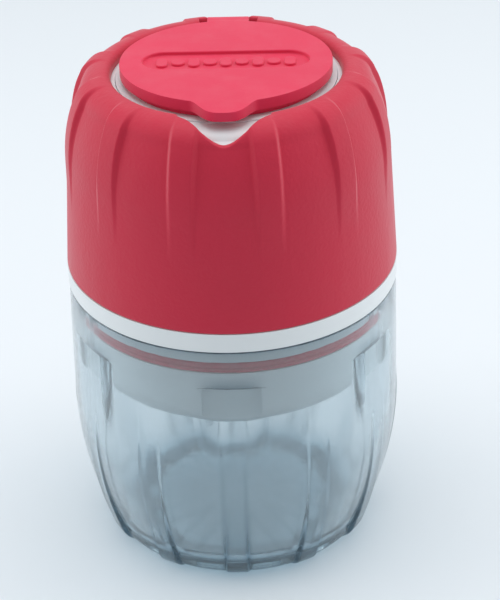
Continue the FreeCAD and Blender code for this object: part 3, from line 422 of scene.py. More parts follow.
# %% Mix the metals
def turned_metal(name, deep, light, roughness):
    """A bright metal with fine turning rings."""
    made, tree = fresh_tree(name)
    place = put(tree, "ShaderNodeTexCoord").outputs["Object"]
    rings = put(tree, "ShaderNodeTexWave", {
        "Vector": place, "Scale": 900.0, "Distortion": 2.0, "Detail": 2.0},
        wave_type="RINGS", rings_direction="Z")
    wiped_metal = put(tree, "ShaderNodeGroup", {
        "Vector": place, "Clean Roughness": roughness, "Smeared Roughness": roughness * 1.6},
        node_tree=wiping_marks)
    rubbed = put(tree, "ShaderNodeGroup", {"Vector": place}, node_tree=rubbed_edges)
    tone = mixed(tree, rubbed.outputs["Mask"], deep, light)
    bump = put(tree, "ShaderNodeBump", {
        "Height": rings.outputs["Fac"], "Distance": 0.000005, "Strength": 0.6})
    skin = put(tree, "ShaderNodeBsdfPrincipled", {
        "Base Color": tone, "Metallic": 1.0,
        "Roughness": wiped_metal.outputs["Roughness"], "Normal": bump.outputs["Normal"]})
    put(tree, "ShaderNodeOutputMaterial", {"Surface": skin.outputs[0]})
    return made


bright_steel = turned_metal("bright_steel", (0.56, 0.56, 0.57), (0.75, 0.75, 0.76), 0.24)
bright_brass = turned_metal("bright_brass", (0.72, 0.53, 0.24), (0.86, 0.70, 0.40), 0.26)
print("metals ready")

# %% [markdown]
# ## Floor and surroundings
#
# The table is a wide, pale, slightly blue disc. It isn't part of the crusher. The world behind it is
# pale to the eye, but lights the scene with about half that strength, which the Light Path node
# allows: it tells rays that come straight from the camera from those that carry light.

# %% Lay the floor and set the world
table_top, table_tree = fresh_tree("table_top")
table_place = put(table_tree, "ShaderNodeTexCoord").outputs["Object"]
table_drift = noise(table_tree, table_place, 1.5)
table_tone = mixed(table_tree, table_drift, (0.765, 0.80, 0.83), (0.795, 0.83, 0.855))
table_skin = put(table_tree, "ShaderNodeBsdfPrincipled", {
    "Base Color": table_tone, "Roughness": 0.5, "Specular IOR Level": 0.3})
put(table_tree, "ShaderNodeOutputMaterial", {"Surface": table_skin.outputs[0]})

FLOOR_RADIUS_M = 4.0
floor_shape = bmesh.new()
bmesh.ops.create_circle(floor_shape, cap_ends=True, segments=96, radius=FLOOR_RADIUS_M)
floor_mesh = bpy.data.meshes.new("floor")
floor_shape.to_mesh(floor_mesh)
floor_shape.free()
floor_mesh.materials.append(table_top)
floor = bpy.data.objects.new("floor", floor_mesh)
bpy.context.scene.collection.objects.link(floor)

surroundings = bpy.data.worlds.new("surroundings")
surroundings.use_nodes = True
surroundings.node_tree.nodes.clear()
world_tree = surroundings.node_tree
seen = put(world_tree, "ShaderNodeLightPath").outputs["Is Camera Ray"]
pale_sky = put(world_tree, "ShaderNodeBackground", {"Color": (0.80, 0.86, 0.90, 1), "Strength": 1.0})
dim_room = put(world_tree, "ShaderNodeBackground", {"Color": (0.88, 0.93, 0.97, 1), "Strength": 0.55})
chosen = put(world_tree, "ShaderNodeMixShader", {
    0: seen, 1: dim_room.outputs[0], 2: pale_sky.outputs[0]})
put(world_tree, "ShaderNodeOutputWorld", {"Surface": chosen.outputs[0]})
bpy.context.scene.world = surroundings
print("stage set")


# %% [markdown]
# ## Tools for turned shapes
#
# Nearly every part of a twist mill is turned: half a cross-section swung round the middle. The
# section is a few points, its curves are arcs, and the spin operator swings it. A curve could be a
# Bezier, but an arc between two points with its centre on a given line is how such a part is drawn.
# The columns of a spin are usually even. Here a list of angles says where they fall, so that they
# crowd together at the edge of a rib and stay wide apart on plain wall.

# %% Helpers for sections and spins
def curved(start, end, steps, centre_r=None, centre_z=None):
    """Points after start, up to end, on the arc whose centre has the given radius or height."""
    (r0, z0), (r1, z1) = start, end
    if centre_z is None:
        gap = (r1 - centre_r) ** 2 - (r0 - centre_r) ** 2
        centre_z = (gap + z1 * z1 - z0 * z0) / (2 * (z1 - z0))
    else:
        gap = (z1 - centre_z) ** 2 - (z0 - centre_z) ** 2
        centre_r = (gap + r1 * r1 - r0 * r0) / (2 * (r1 - r0))
    radius = math.hypot(r0 - centre_r, z0 - centre_z)
    first = math.atan2(z0 - centre_z, r0 - centre_r)
    turn = math.atan2(z1 - centre_z, r1 - centre_r) - first
    turn = (turn + math.pi) % (2 * math.pi) - math.pi
    angles = [first + turn * k / steps for k in range(1, steps + 1)]
    return [(centre_r + radius * math.cos(a), centre_z + radius * math.sin(a)) for a in angles]


def straight(start, end, steps):
    """Points after start, up to end, on the line between them."""
    return [tuple(a + (b - a) * k / steps for a, b in zip(start, end)) for k in range(1, steps + 1)]


def crowded(edges, spread, fine, coarse):
    """Angles round one turn in degrees: coarse steps, and fine ones within spread of each edge."""
    angles = {round(k * coarse, 4) for k in range(round(360 / coarse))}
    angles = {a for a in angles if all(abs((a - e + 180) % 360 - 180) > spread for e in edges)}
    for edge in edges:
        count = round(spread / fine)
        angles |= {round((edge + k * fine) % 360, 4) for k in range(-count, count + 1)}
    ordered = sorted(angles)
    return [a for a, b in zip(ordered, ordered[1:] + [ordered[0] + 360]) if b - a > fine * 0.4]


def turned(section, angles, closed=True, repeats=1):
    """A bmesh swung round the vertical axis from (radius, height) points, a column at each angle.

    The angles cover one share of the turn, which is then repeated. Each point keeps the number of
    its place in the section in the layer called row.
    """
    bm = bmesh.new()
    row_of = bm.verts.layers.int.new("row")
    points = [bm.verts.new((r, 0, z)) for r, z in section]
    for row, point in enumerate(points):
        point[row_of] = row
    edges = [bm.edges.new(pair) for pair in zip(points, points[1:])]
    if closed:
        edges.append(bm.edges.new((points[-1], points[0])))
    first = Matrix.Rotation(math.radians(angles[0]), 3, "Z")
    bmesh.ops.rotate(bm, verts=points, matrix=first)
    line = points + edges
    for here, there in zip(angles, angles[1:] + [angles[0] + 360 / repeats]):
        line = bmesh.ops.spin(bm, geom=line, cent=(0, 0, 0), axis=(0, 0, 1), steps=1,
                              angle=math.radians(there - here))["geom_last"]
    if repeats > 1:
        bmesh.ops.spin(bm, geom=bm.verts[:] + bm.edges[:] + bm.faces[:], cent=(0, 0, 0), axis=(0, 0, 1),
                       steps=repeats - 1, angle=math.radians(360 - 360 / repeats), use_duplicate=True)
    bmesh.ops.remove_doubles(bm, verts=bm.verts, dist=0.0005)
    bmesh.ops.recalc_face_normals(bm, faces=bm.faces)
    return bm


def evenly(columns):
    """Even angles for a plain turned part."""
    return [k * 360 / columns for k in range(columns)]


# %% [markdown]
# ## Finishing a piece
#
# A piece that was shaped in millimetres becomes an object in metres at the origin, gets its finish
# and rides on a body of the frame. Smooth shading with sharp edges by angle keeps a turned wall
# round and its corners crisp. Weighted normals then stop a big flat face from picking up a false
# curve from the narrow rounding next to it.

# %% Helper that finishes a piece
def finished(bm, name, finish, body=None, replaces=(), crease=38.0):
    """Makes a millimetre shape an object in metres, with its finish, and puts it on its body if one is given."""
    for layer in list(bm.verts.layers.int):
        bm.verts.layers.int.remove(layer)
    bmesh.ops.scale(bm, vec=(MM, MM, MM), verts=bm.verts)
    mesh = bpy.data.meshes.new(name)
    bm.to_mesh(mesh)
    bm.free()
    mesh.polygons.foreach_set("use_smooth", [True] * len(mesh.polygons))
    mesh.set_sharp_from_angle(angle=math.radians(crease))
    mesh.materials.append(finish)
    piece = bpy.data.objects.new(name, mesh)
    bpy.context.scene.collection.objects.link(piece)
    even = piece.modifiers.new("even_shading", "WEIGHTED_NORMAL")
    even.keep_sharp = True
    if body:
        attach(piece, body)
    if replaces:
        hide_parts(*replaces)
    print(f"{name}: {len(mesh.vertices)} points, {len(mesh.polygons)} faces")
    return piece


def eased(low, high, value):
    """0 below low, 1 above high, and a smooth step between."""
    share = min(1.0, max(0.0, (value - low) / (high - low)))
    return share * share * (3 - 2 * share)


def between(table, value):
    """Looks a value up in a table of (place, amount) pairs, in a straight line between them."""
    after = min(max(bisect_left(table, (value,)), 1), len(table) - 1)
    (a, low), (b, high) = table[after - 1], table[after]
    return low + (high - low) * min(1.0, max(0.0, (value - a) / (b - a)))


def smoothly(table, value, spread=0.5):
    """The table's line, averaged over a short stretch so that its corners are rounded."""
    return sum(between(table, value + spread * k / 3) for k in range(-3, 4)) / 7


def polar(point):
    """Radius and angle in degrees of a point, seen from above."""
    return math.hypot(point.x, point.y), math.degrees(math.atan2(point.y, point.x))


# %% [markdown]
# ## The jar: its section
#
# The jar is one clear moulding: a thick floor with a hollow under it, a rounded corner, a belly and
# a straight mouth. Its wall has a true thickness, because the finish bends light at both faces. The
# section runs from the middle of the underside, up the outside, over the rim and down the inside.

# %% Draw the jar's section
BELLY, WALL = JAR_REACH - 0.2, 2.35
JAR_RADIUS, JAR_BORE = BELLY - 0.45, BELLY - 2.8
BASE, CORNER, CORNER_Z, BELLY_Z = 23.6, 28.0, 4.0, 30.0
BOWL, BOWL_Z, FLOOR_R, FLOOR_Z = 26.6, 7.4, 21.0, 3.4
KEY_TOP, KEY_END, KEY_RADIUS = 48.6, 24.0, 29.3
ROUND = 0.3
HOLLOW_R, HOLLOW_Z, FOOT_R = 18.0, 0.8, 18.8

outside = [(0.0, HOLLOW_Z)] + straight((0.0, HOLLOW_Z), (HOLLOW_R, HOLLOW_Z), 6) + [(FOOT_R, 0.0)]
outside += straight((FOOT_R, 0.0), (BASE - 0.25, 0.0), 3) + [(BASE, 0.03)]
outside += curved((BASE, 0.03), (CORNER, CORNER_Z), 12, centre_r=BASE)
outside += curved((CORNER, CORNER_Z), (BELLY, BELLY_Z), 26, centre_z=BELLY_Z)
outside += curved((BELLY, BELLY_Z), (JAR_RADIUS, RIM - ROUND), 10, centre_z=BELLY_Z)
outside += curved((JAR_RADIUS, RIM - ROUND), (JAR_RADIUS - ROUND, RIM), 4, centre_r=JAR_RADIUS - ROUND)
inside = [(JAR_BORE + ROUND, RIM)]
inside += curved((JAR_BORE + ROUND, RIM), (JAR_BORE, RIM - ROUND), 4, centre_r=JAR_BORE + ROUND)
top_of_key = [(JAR_BORE + 0.09, KEY_TOP + 0.12), (JAR_BORE + 0.09, KEY_TOP)]
inside += straight((JAR_BORE, RIM - ROUND), top_of_key[0], 3)[:-1] + top_of_key
inside += [(JAR_BORE + 0.1, KEY_TOP - 0.25)]
inside += curved(inside[-1], (BELLY - WALL, BELLY_Z), 10, centre_z=BELLY_Z)
inside += curved((BELLY - WALL, BELLY_Z), (BOWL, BOWL_Z), 24, centre_z=BELLY_Z)
inside += curved((BOWL, BOWL_Z), (FLOOR_R, FLOOR_Z), 8, centre_r=FLOOR_R)
inside += straight((FLOOR_R, FLOOR_Z), (0.0, FLOOR_Z), 6)
print("jar section:", len(outside), "points outside,", len(inside), "inside")

# %% [markdown]
# ## The jar: its ribs and keys
#
# Twelve ribs stand out round the foot and run out at the belly. Six keys inside the mouth stop the
# plug from turning. They could be cut and joined with booleans, which leave ragged edges that clear
# plastic would show. Here the spin puts narrow columns at their sides, and each point of the wall is
# pushed out or in by how far it stands inside a rib or a key. A rib's sides have a slight slope, as a
# moulding needs to leave its mould. A key's sides are softer still, and it fades away downwards.
# Each point also keeps, in a layer of its own, how much of a side, a rib's top, a key's ledge or the
# rim it is, so that the finish can deepen the colour there. That deeper colour is painted shade: it
# stands in for the dark lines that bent light draws along ribs and keys, and for the shadow in the
# thin gap between the rim and the white band.

# %% Swing the jar and press out its ribs and keys
RIB_EVERY, RIB_HALF, RIB_INNER, RIB_OUTER, RIB_END = 30, 2.3, 0.45, 0.4, 38
# The next numbers set the painted shade: how wide and how dark it is at rib sides, rib tops and key sides.
RIB_SHADE_SPREAD, RIB_PROUD, SIDE_PAINTED_SHADE, TOP_PAINTED_SHADE = 0.9, 0.7, 0.95, 0.3
KEY_EVERY, KEY_HALF_ANGLE, KEY_INNER, KEY_OUTER = 60, 10.0, 6.0, 3.5
KEY_SHADE_SPREAD, KEY_PAINTED_SHADE, KEY_FADE_LOW, KEY_FADE_HIGH = 3.5, 0.12, KEY_END + 2, KEY_TOP + 4
RIB_FOOT, RIB_CORNER = 24.6, 29.0
rib_line = [(RIB_FOOT, 0.0)] + curved((RIB_FOOT, 0.0), (RIB_CORNER, CORNER_Z), 8, centre_r=BASE)
rib_line += curved((RIB_CORNER, CORNER_Z), (JAR_REACH, BELLY_Z), 20, centre_z=BELLY_Z)
rib_line += [(BELLY - 0.1, float(RIB_END))]
skin_line = [(BASE, 0.0)] + curved((BASE, 0.0), (CORNER, CORNER_Z), 8, centre_r=BASE)
skin_line += curved((CORNER, CORNER_Z), (BELLY, BELLY_Z), 20, centre_z=BELLY_Z)
skin_line += curved((BELLY, BELLY_Z), (JAR_RADIUS, RIM), 10, centre_z=BELLY_Z)
rib_at = [(z, r) for r, z in rib_line]
skin_at = [(z, r) for r, z in skin_line]


def from_nearest(angle, every, offset=0.0):
    """Degrees from an angle to the nearest of a ring of features."""
    return (angle - offset + every / 2) % every - every / 2


def rib_shift(radius, angle, height):
    """How far the jar's outside stands out for a rib, and its painted shade for a rib or the rim."""
    across = abs(radius * math.sin(math.radians(from_nearest(angle, RIB_EVERY))))
    below_end = height < RIB_END
    proud = max(0.0, between(rib_at, height) - between(skin_at, height)) if below_end else 0.0
    within = 1 - eased(RIB_HALF - RIB_INNER, RIB_HALF + RIB_OUTER, across)
    # Painted shade: darkest at the rib's sides, lighter over its top, and full at the rim's top where the band's
    # shadow falls.
    side = max(0.0, 1 - abs(across - RIB_HALF) / RIB_SHADE_SPREAD)
    rib_painted_shade = min(1.0, proud / RIB_PROUD) * (SIDE_PAINTED_SHADE * side + TOP_PAINTED_SHADE * within)
    return proud * within, max(rib_painted_shade, eased(RIM - 0.5, RIM, height))


def key_shift(radius, angle, height):
    """How far the jar's inside stands in for a key, as a negative, and the painted shade at its edge."""
    if not 20 < height <= KEY_TOP + 0.2:
        return 0.0, 0.0
    away = abs(from_nearest(angle, KEY_EVERY, 30))
    within = 1 - eased(KEY_HALF_ANGLE - KEY_INNER, KEY_HALF_ANGLE + KEY_OUTER, away)
    # Painted shade: a dark line along each key's top ledge and down its sides.
    if height > KEY_TOP + 0.01:
        return 0.0, within
    down = eased(KEY_FADE_LOW, KEY_FADE_HIGH, height)
    side = max(0.0, 1 - abs(away - KEY_HALF_ANGLE + 1.0) / KEY_SHADE_SPREAD)
    ledge = within if height > KEY_TOP - 0.01 else 0.0
    return min(0.0, KEY_RADIUS - radius) * down * within, max(KEY_PAINTED_SHADE * side * down, ledge)


rib_edges = [k * RIB_EVERY + side * 4.3 for k in range(12) for side in (-1, 1)]
key_edges = [k * KEY_EVERY + 30 + side * (KEY_HALF_ANGLE - 1.0)
             for k in range(6) for side in (-1, 1)]
jar_angles = crowded(rib_edges, 1.4, 0.2, 2.5) + crowded(key_edges, 4.8, 0.5, 10.0)
jar_angles = sorted({a for a in jar_angles if a < 60})
jar_angles = [a for a, b in zip(jar_angles, jar_angles[1:] + [60]) if b - a > 0.1]
jar_shape = turned(outside + inside, jar_angles, closed=False, repeats=6)
row_of = jar_shape.verts.layers.int["row"]
# A point layer of painted shade, which the clear finish darkens by.
painted_edge_shade = jar_shape.verts.layers.float.new("painted_edge_shade")
for point in jar_shape.verts:
    radius, angle = polar(point.co)
    if radius > 1.0:
        pressed = rib_shift if point[row_of] < len(outside) else key_shift
        shift, point[painted_edge_shade] = pressed(radius, angle, point.co.z)
        point.co.x *= (radius + shift) / radius
        point.co.y *= (radius + shift) / radius
finished(jar_shape, "jar_shell", clear_jar_plastic, "jar", ["jar"])

# %% [markdown]
# ## The grip: its skin
#
# The grip is a soft sleeve over the head's housing. It rises from the white band, barrels in to the
# waist and turns over a round shoulder to a lip. Every point of it can be named by two numbers: how
# far along the skin it lies from the crown, and how deep under the skin. That makes it easy to pull
# the mouth open later, for the notch in front and the slots behind. A helper walks along the skin's
# section and gives the place and the direction there.

# %% Draw the grip's skin and learn to walk along it
BAND, WAIST, SHOULDER, CROWN_R, MOUTH = 33.0, 31.5, 28.3, 23.4, 22.15
SHOULDER_Z = CROWN - 3.9
WAIST_Z = SHOULDER_Z - 12.2
THICK, LIP = 1.95, CROWN_R - MOUTH
skin_path = [(CROWN_R, CROWN)]
skin_path += curved((CROWN_R, CROWN), (SHOULDER, SHOULDER_Z), 40, centre_r=CROWN_R)
skin_path += curved((SHOULDER, SHOULDER_Z), (WAIST, WAIST_Z), 40, centre_z=WAIST_Z - 2)
skin_path += straight((WAIST, WAIST_Z), (BAND, GRIP_FOOT), 20)
skin_run = [0.0]
for (r0, z0), (r1, z1) in zip(skin_path, skin_path[1:]):
    skin_run.append(skin_run[-1] + math.hypot(r1 - r0, z1 - z0))
run_to_r = list(zip(skin_run, (p[0] for p in skin_path)))
run_to_z = list(zip(skin_run, (p[1] for p in skin_path)))
r_to_run = list(zip((p[0] for p in skin_path), skin_run))
SKIN_LENGTH = skin_run[-1]


def on_skin(run, depth):
    """Radius and height at a distance along the skin from the crown, and a depth under it."""
    held = min(max(run, 0.0), SKIN_LENGTH)
    step = 0.4
    back, ahead = max(0.0, held - step), min(SKIN_LENGTH, held + step)
    along = Vector((between(run_to_r, ahead) - between(run_to_r, back),
                    between(run_to_z, ahead) - between(run_to_z, back))).normalized()
    outward = Vector((-along.y, along.x))
    place = Vector((between(run_to_r, held), between(run_to_z, held)))
    return place + along * (run - held) - outward * depth


print(f"the skin runs {SKIN_LENGTH:.1f} mm from crown to foot")

# %% [markdown]
# ## The grip: the mouth, the notch and the strap's slots
#
# Seen from above, the opening is a circle with three changes. In front a round scoop clears
# the finger tab of the lid. Behind, two narrow slots free the strap that the lid hangs on, with a
# tongue between them. One function says how far out the opening's edge lies at each angle, and how
# plump its rounded lip is there. Cutting these out with booleans would leave a hard edge; pulling
# the mouth's edge back along the skin keeps the lip rounded all the way round.

# %% Describe the opening's edge
NOTCH_TIP, NOTCH_ROUND, NOTCH_HALF = 28.15, 5.2, 8.2
NOTCH_SHOULDER, NOTCH_FOOT = NOTCH_TIP - NOTCH_ROUND * 0.6, 21.2
STRAP_HALF, SLOT_HALF, SLOT_END, TONGUE, SLOT_SOFT = 4.2, 6.05, 24.5, 23.5, 0.15


def notch_reach(x):
    """How far forward the notch reaches at a distance from its middle."""
    if x < NOTCH_ROUND:
        return NOTCH_TIP - (NOTCH_TIP - NOTCH_SHOULDER) * (x / NOTCH_ROUND) ** 2
    slope = (NOTCH_SHOULDER - NOTCH_FOOT) / (NOTCH_HALF - NOTCH_ROUND)
    return NOTCH_SHOULDER - slope * (x - NOTCH_ROUND)


def mouth_edge(angle):
    """Radius of the opening's edge at an angle, and how plump the lip is, from 0 to 1."""
    forward = abs(from_nearest(angle, 360, 270))
    backward = abs(from_nearest(angle, 360, 90))
    if forward < 22:
        edge = 25.0
        for _ in range(8):
            x = edge * math.sin(math.radians(forward))
            circle = math.sqrt(MOUTH ** 2 - min(x, MOUTH) ** 2)
            gap = notch_reach(x) - circle
            reach = circle + (gap + math.sqrt(gap * gap + 0.5)) / 2
            edge = math.hypot(x, reach - 0.08)
        return max(edge, MOUTH), 1 - 0.5 * eased(0.3, 2.5, edge - MOUTH)
    if backward < 20:
        x = SLOT_END * math.sin(math.radians(backward))
        inner = 1 - eased(STRAP_HALF - SLOT_SOFT, STRAP_HALF + SLOT_SOFT, x)
        outer = 1 - eased(SLOT_HALF - SLOT_SOFT, SLOT_HALF + SLOT_SOFT, x)
        reach = (TONGUE - MOUTH) * inner + (SLOT_END - MOUTH) * (outer - inner)
        return MOUTH + reach, 1 - 0.7 * outer
    return MOUTH, 1.0


print("notch edge at", round(mouth_edge(270)[0], 2), "slot end at", round(mouth_edge(102)[0], 2))

# %% [markdown]
# ## The grip: swing it, pull the mouth, raise the ribs
#
# The section is swung with narrow columns at the ribs, the notch and the slots. Then each point is
# moved once: its distance along the skin shrinks where the mouth is pulled back, and it rises out
# of the skin where a rib stands. A rib is flat-topped with soft sides, proudest at the shoulder, and
# dies away below the waist, as the table of heights says.

# %% Model the grip
lip_points = [(CROWN_R - LIP * math.sin(math.radians(a)), LIP * (1 - math.cos(math.radians(a))))
              for a in (90, 75, 60, 45, 30, 15)]
grip_rows = [(run, 0.0) for run in (0.0, 0.5, 1.0)]
grip_rows += [(1.0 + 0.55 * k, 0.0) for k in range(1, 16)]
grip_rows += [(9.25 + (SKIN_LENGTH - 9.75) * k / 26, 0.0) for k in range(1, 27)]
grip_rows += [(SKIN_LENGTH - 0.22, 0.05), (SKIN_LENGTH - 0.05, 0.2), (SKIN_LENGTH, 0.5)]
grip_rows += [(SKIN_LENGTH, 1.5), (SKIN_LENGTH, THICK)]
inner_rows = [(SKIN_LENGTH - (SKIN_LENGTH - 8) * k / 14, THICK) for k in range(1, 15)]
inner_rows += [(8.0 - k, THICK) for k in range(1, 9)]
lip_rows = [(-LIP, THICK)] + [(r - CROWN_R, depth) for r, depth in lip_points]
all_rows = grip_rows + inner_rows + lip_rows
RIB_RISE = [(0.0, 0.0), (0.8, 0.02), (3.4, 0.6), (6.3, 1.08), (9.0, 1.1), (13.0, 0.84), (18.7, 0.46),
            (24.0, 0.18), (28.5, 0.0)]
GRIP_RIB_HALF, GRIP_RIB_INNER, GRIP_RIB_OUTER = 2.4, 0.55, 0.5
PULL_REACH = 15.0


def grip_place(run, depth, angle):
    """Where a point of the grip goes: the mouth pulled back along the skin, and the ribs raised."""
    edge, plump = mouth_edge(angle)
    pulled = between(r_to_run, edge) if edge > CROWN_R else edge - CROWN_R
    pulled += LIP * plump
    if run < 0:
        run = pulled + run * plump
    elif run < PULL_REACH:
        run = pulled + run * (PULL_REACH - pulled) / PULL_REACH
    place = on_skin(run, depth)
    if depth < THICK * 0.5:
        away = from_nearest(angle, 30, 15)
        across = abs(place.x * math.sin(math.radians(away)))
        beside = eased(GRIP_RIB_HALF - GRIP_RIB_INNER, GRIP_RIB_HALF + GRIP_RIB_OUTER, across)
        rise = smoothly(RIB_RISE, run, 1.2) * (1 - beside)
        rise *= 1 - eased(0.0, THICK * 0.5, depth)
        place = on_skin(run, depth - rise)
    return place


grip_section = [tuple(on_skin(run, depth)) for run, depth in all_rows]
grip_edges = [k * 30 + 15 + side * 4.9 for k in range(12) for side in (-1, 1)]
notch_spread = [270 + 0.45 * k for k in range(-40, 41)]
slot_spread = [90 + side * (centre + 0.1 * k) for side in (-1, 1) for centre in (9.87, 14.3)
               for k in range(-5, 6)]
grip_angles = sorted(set(crowded(grip_edges, 1.4, 0.2, 2.5) + notch_spread + slot_spread))
grip_angles = [a for a, b in zip(grip_angles, grip_angles[1:] + [400]) if b - a > 0.06]
grip_shape = turned(grip_section, grip_angles)
row_of = grip_shape.verts.layers.int["row"]
for point in grip_shape.verts:
    radius, angle = polar(point.co)
    new_radius, new_z = grip_place(*all_rows[point[row_of]], angle)
    point.co = (point.co.x * new_radius / radius, point.co.y * new_radius / radius, new_z)
finished(grip_shape, "grip", soft_red_grip, "head", ["grip_sleeve"], crease=50.0)

# %% [markdown]
# ## The lid: its outline
#
# The lid is a soft disc with a finger tab in front. Its outline starts as a circle, and the points
# in front are drawn forward into the tab with a smooth bell, so the tab grows out of the disc
# without a corner. A second loop, pulled out of a circle too, is the long recess in the top. At the
# end the whole disc is tilted: its top falls a little from the front towards the strap.

# %% Draw the lid's outline and fill its top
LID_R, LID_UNDER, TAB_REACH, TAB_HALF, TAB_THIN = 20.3, LID_TOP - 2.1, 4.5, 6.3, 0.3
LID_FALL = 0.8
RECESS_HALF, RECESS_ROUND, RECESS_DEPTH = 15.95, 4.35, 0.8


def tab_share(x):
    """How far a point of the disc's front edge is drawn into the tab, from 0 to 1."""
    return 0.5 + 0.5 * math.cos(math.pi * min(1.0, abs(x) / TAB_HALF) ** 1.8)


def lid_fall(y):
    """How far the lid's top lies under its highest line, which is in front."""
    return LID_FALL * min(1.0, max(0.0, (y + LID_R) / (2 * LID_R)))


lid_shape = bmesh.new()
rim_points = bmesh.ops.create_circle(lid_shape, segments=288, radius=LID_R)["verts"]
for point in rim_points:
    if point.co.y < 0:
        point.co.y -= TAB_REACH * tab_share(point.co.x)
recess_points = bmesh.ops.create_circle(lid_shape, segments=96, radius=RECESS_ROUND)["verts"]
for point in recess_points:
    point.co.x += math.copysign(RECESS_HALF - RECESS_ROUND, point.co.x + 1e-6)
bmesh.ops.translate(lid_shape, verts=lid_shape.verts, vec=(0, 0, LID_TOP))
rim_edges = [e for e in lid_shape.edges if e.verts[0] in rim_points]
recess_edges = [e for e in lid_shape.edges if e.verts[0] in recess_points]
bmesh.ops.triangle_fill(lid_shape, use_beauty=True, edges=rim_edges + recess_edges)
print("lid top:", len(lid_shape.faces), "faces")

# %% [markdown]
# ## The lid: its edge and its recess
#
# Extruding the two loops downwards gives the disc its side and the recess its wall. The underside
# of the tab rises a little, so a finger can get under it. The corners are then rounded with the
# bevel operator: wide at the top edge, where a soft moulding has a generous radius, and narrow
# elsewhere. A modelled radius catches the light in a way that a bump can't.

# %% Extrude and round the lid
def round_off(bm, edges, offset, segments):
    """Rounds edges over with a bevel of an even width."""
    bmesh.ops.bevel(bm, geom=edges, offset=offset, offset_type="OFFSET", segments=segments,
                    profile=0.5, affect="EDGES", clamp_overlap=True, material=-1)


def dropped(bm, edges, height):
    """Extrudes a loop straight down to a height and gives back the new loop's edges."""
    made = bmesh.ops.extrude_edge_only(bm, edges=edges)["geom"]
    points = [g for g in made if isinstance(g, bmesh.types.BMVert)]
    for point in points:
        point.co.z = height
    inside_new = set(points)
    return [g for g in made if isinstance(g, bmesh.types.BMEdge) and set(g.verts) <= inside_new]


recess_floor = dropped(lid_shape, recess_edges, LID_TOP - RECESS_DEPTH)
bmesh.ops.edgeloop_fill(lid_shape, edges=recess_floor)
under_edges = dropped(lid_shape, rim_edges, LID_UNDER)
for point in {v for e in under_edges for v in e.verts}:
    if point.co.y < 0:
        point.co.z += TAB_THIN * tab_share(point.co.x)
bmesh.ops.triangle_fill(lid_shape, use_beauty=True, edges=under_edges)
bmesh.ops.recalc_face_normals(lid_shape, faces=lid_shape.faces)
for edges, offset, segments in (
    (rim_edges, 0.55, 5), (recess_edges, 0.28, 3), (recess_floor, 0.25, 3), (under_edges, 0.3, 3),
):
    round_off(lid_shape, edges, offset, segments)
print("rounded lid:", len(lid_shape.faces), "faces")

# %% [markdown]
# ## The lid: the plug underneath
#
# Under the disc a step rests on the hopper's flange, and a ring reaches down inside the mouth, so
# the lid seals and stays centred. It shows only when the lid is open. It is a small turned ring
# that overlaps the disc a little, which in one soft moulding is simply the same material.

# %% Turn the plug ring and join it to the lid
SEAT_R, PLUG_R, PLUG_BORE = 19.2, 17.6, 15.8
SEAT_Z, PLUG_END = LID_UNDER - 1.4, box_mm("lid")[0].z
plug_section = [
    (PLUG_BORE, LID_UNDER + 0.1), (PLUG_BORE, PLUG_END + 0.35), (PLUG_BORE + 0.12, PLUG_END + 0.12),
    (PLUG_BORE + 0.35, PLUG_END), (PLUG_R - 0.35, PLUG_END), (PLUG_R - 0.12, PLUG_END + 0.12),
    (PLUG_R, PLUG_END + 0.35), (PLUG_R, SEAT_Z - 0.2), (PLUG_R + 0.2, SEAT_Z), (SEAT_R - 0.25, SEAT_Z),
    (SEAT_R - 0.07, SEAT_Z + 0.07), (SEAT_R, SEAT_Z + 0.25), (SEAT_R, LID_UNDER + 0.1),
]
for point in lid_shape.verts:
    point.co.z -= lid_fall(point.co.y)
ring_shape = turned(plug_section, evenly(144))
for point in ring_shape.verts:
    if point.co.z > LID_UNDER:
        point.co.z -= lid_fall(point.co.y)
ring_mesh = bpy.data.meshes.new("lid_ring_shape")
ring_shape.to_mesh(ring_mesh)
ring_shape.free()
lid_shape.from_mesh(ring_mesh)
bpy.data.meshes.remove(ring_mesh)
finished(lid_shape, "lid_disc", lid_red_painted_light, "lid", ["lid"])

# %% [markdown]
# ## The lid: a row of little pills
#
# The recess carries raised shapes that tell what the mill is for. Here they are plain pill shapes,
# upright caplets and round tablets in turn, all invented for this model. Each starts as a circle,
# stretched for a caplet, is extruded up and rounded over. They keep to the fall of the lid's top.

# %% Raise the pills
PILL_PITCH, PILL_RISE, PILL_SUNK = 3.05, 0.5, 0.1
CAPLET_HALF, CAPLET_STRETCH, TABLET_HALF = 1.12, 0.85, 1.3
PILL_FOOT = LID_TOP - RECESS_DEPTH - PILL_SUNK
pills_shape = bmesh.new()
for index in range(-4, 5):
    tall = index % 2 == 0
    half = CAPLET_HALF if tall else TABLET_HALF
    made = bmesh.ops.create_circle(pills_shape, segments=40, radius=half, cap_ends=True)["verts"]
    if tall:
        for point in made:
            point.co.y += math.copysign(CAPLET_STRETCH, point.co.y + 1e-6)
    bmesh.ops.translate(pills_shape, verts=made, vec=(index * PILL_PITCH, 0, PILL_FOOT))
    base_face = made[0].link_faces[0]
    top = bmesh.ops.extrude_face_region(pills_shape, geom=[base_face])["geom"]
    top_points = [g for g in top if isinstance(g, bmesh.types.BMVert)]
    bmesh.ops.translate(pills_shape, verts=top_points, vec=(0, 0, PILL_RISE + PILL_SUNK))
    top_face = [g for g in top if isinstance(g, bmesh.types.BMFace)][0]
    round_off(pills_shape, list(top_face.edges), 0.22, 3)
for point in pills_shape.verts:
    point.co.z -= lid_fall(point.co.y)
bmesh.ops.recalc_face_normals(pills_shape, faces=pills_shape.faces)
finished(pills_shape, "lid_pills", lid_red_painted_light, "lid")
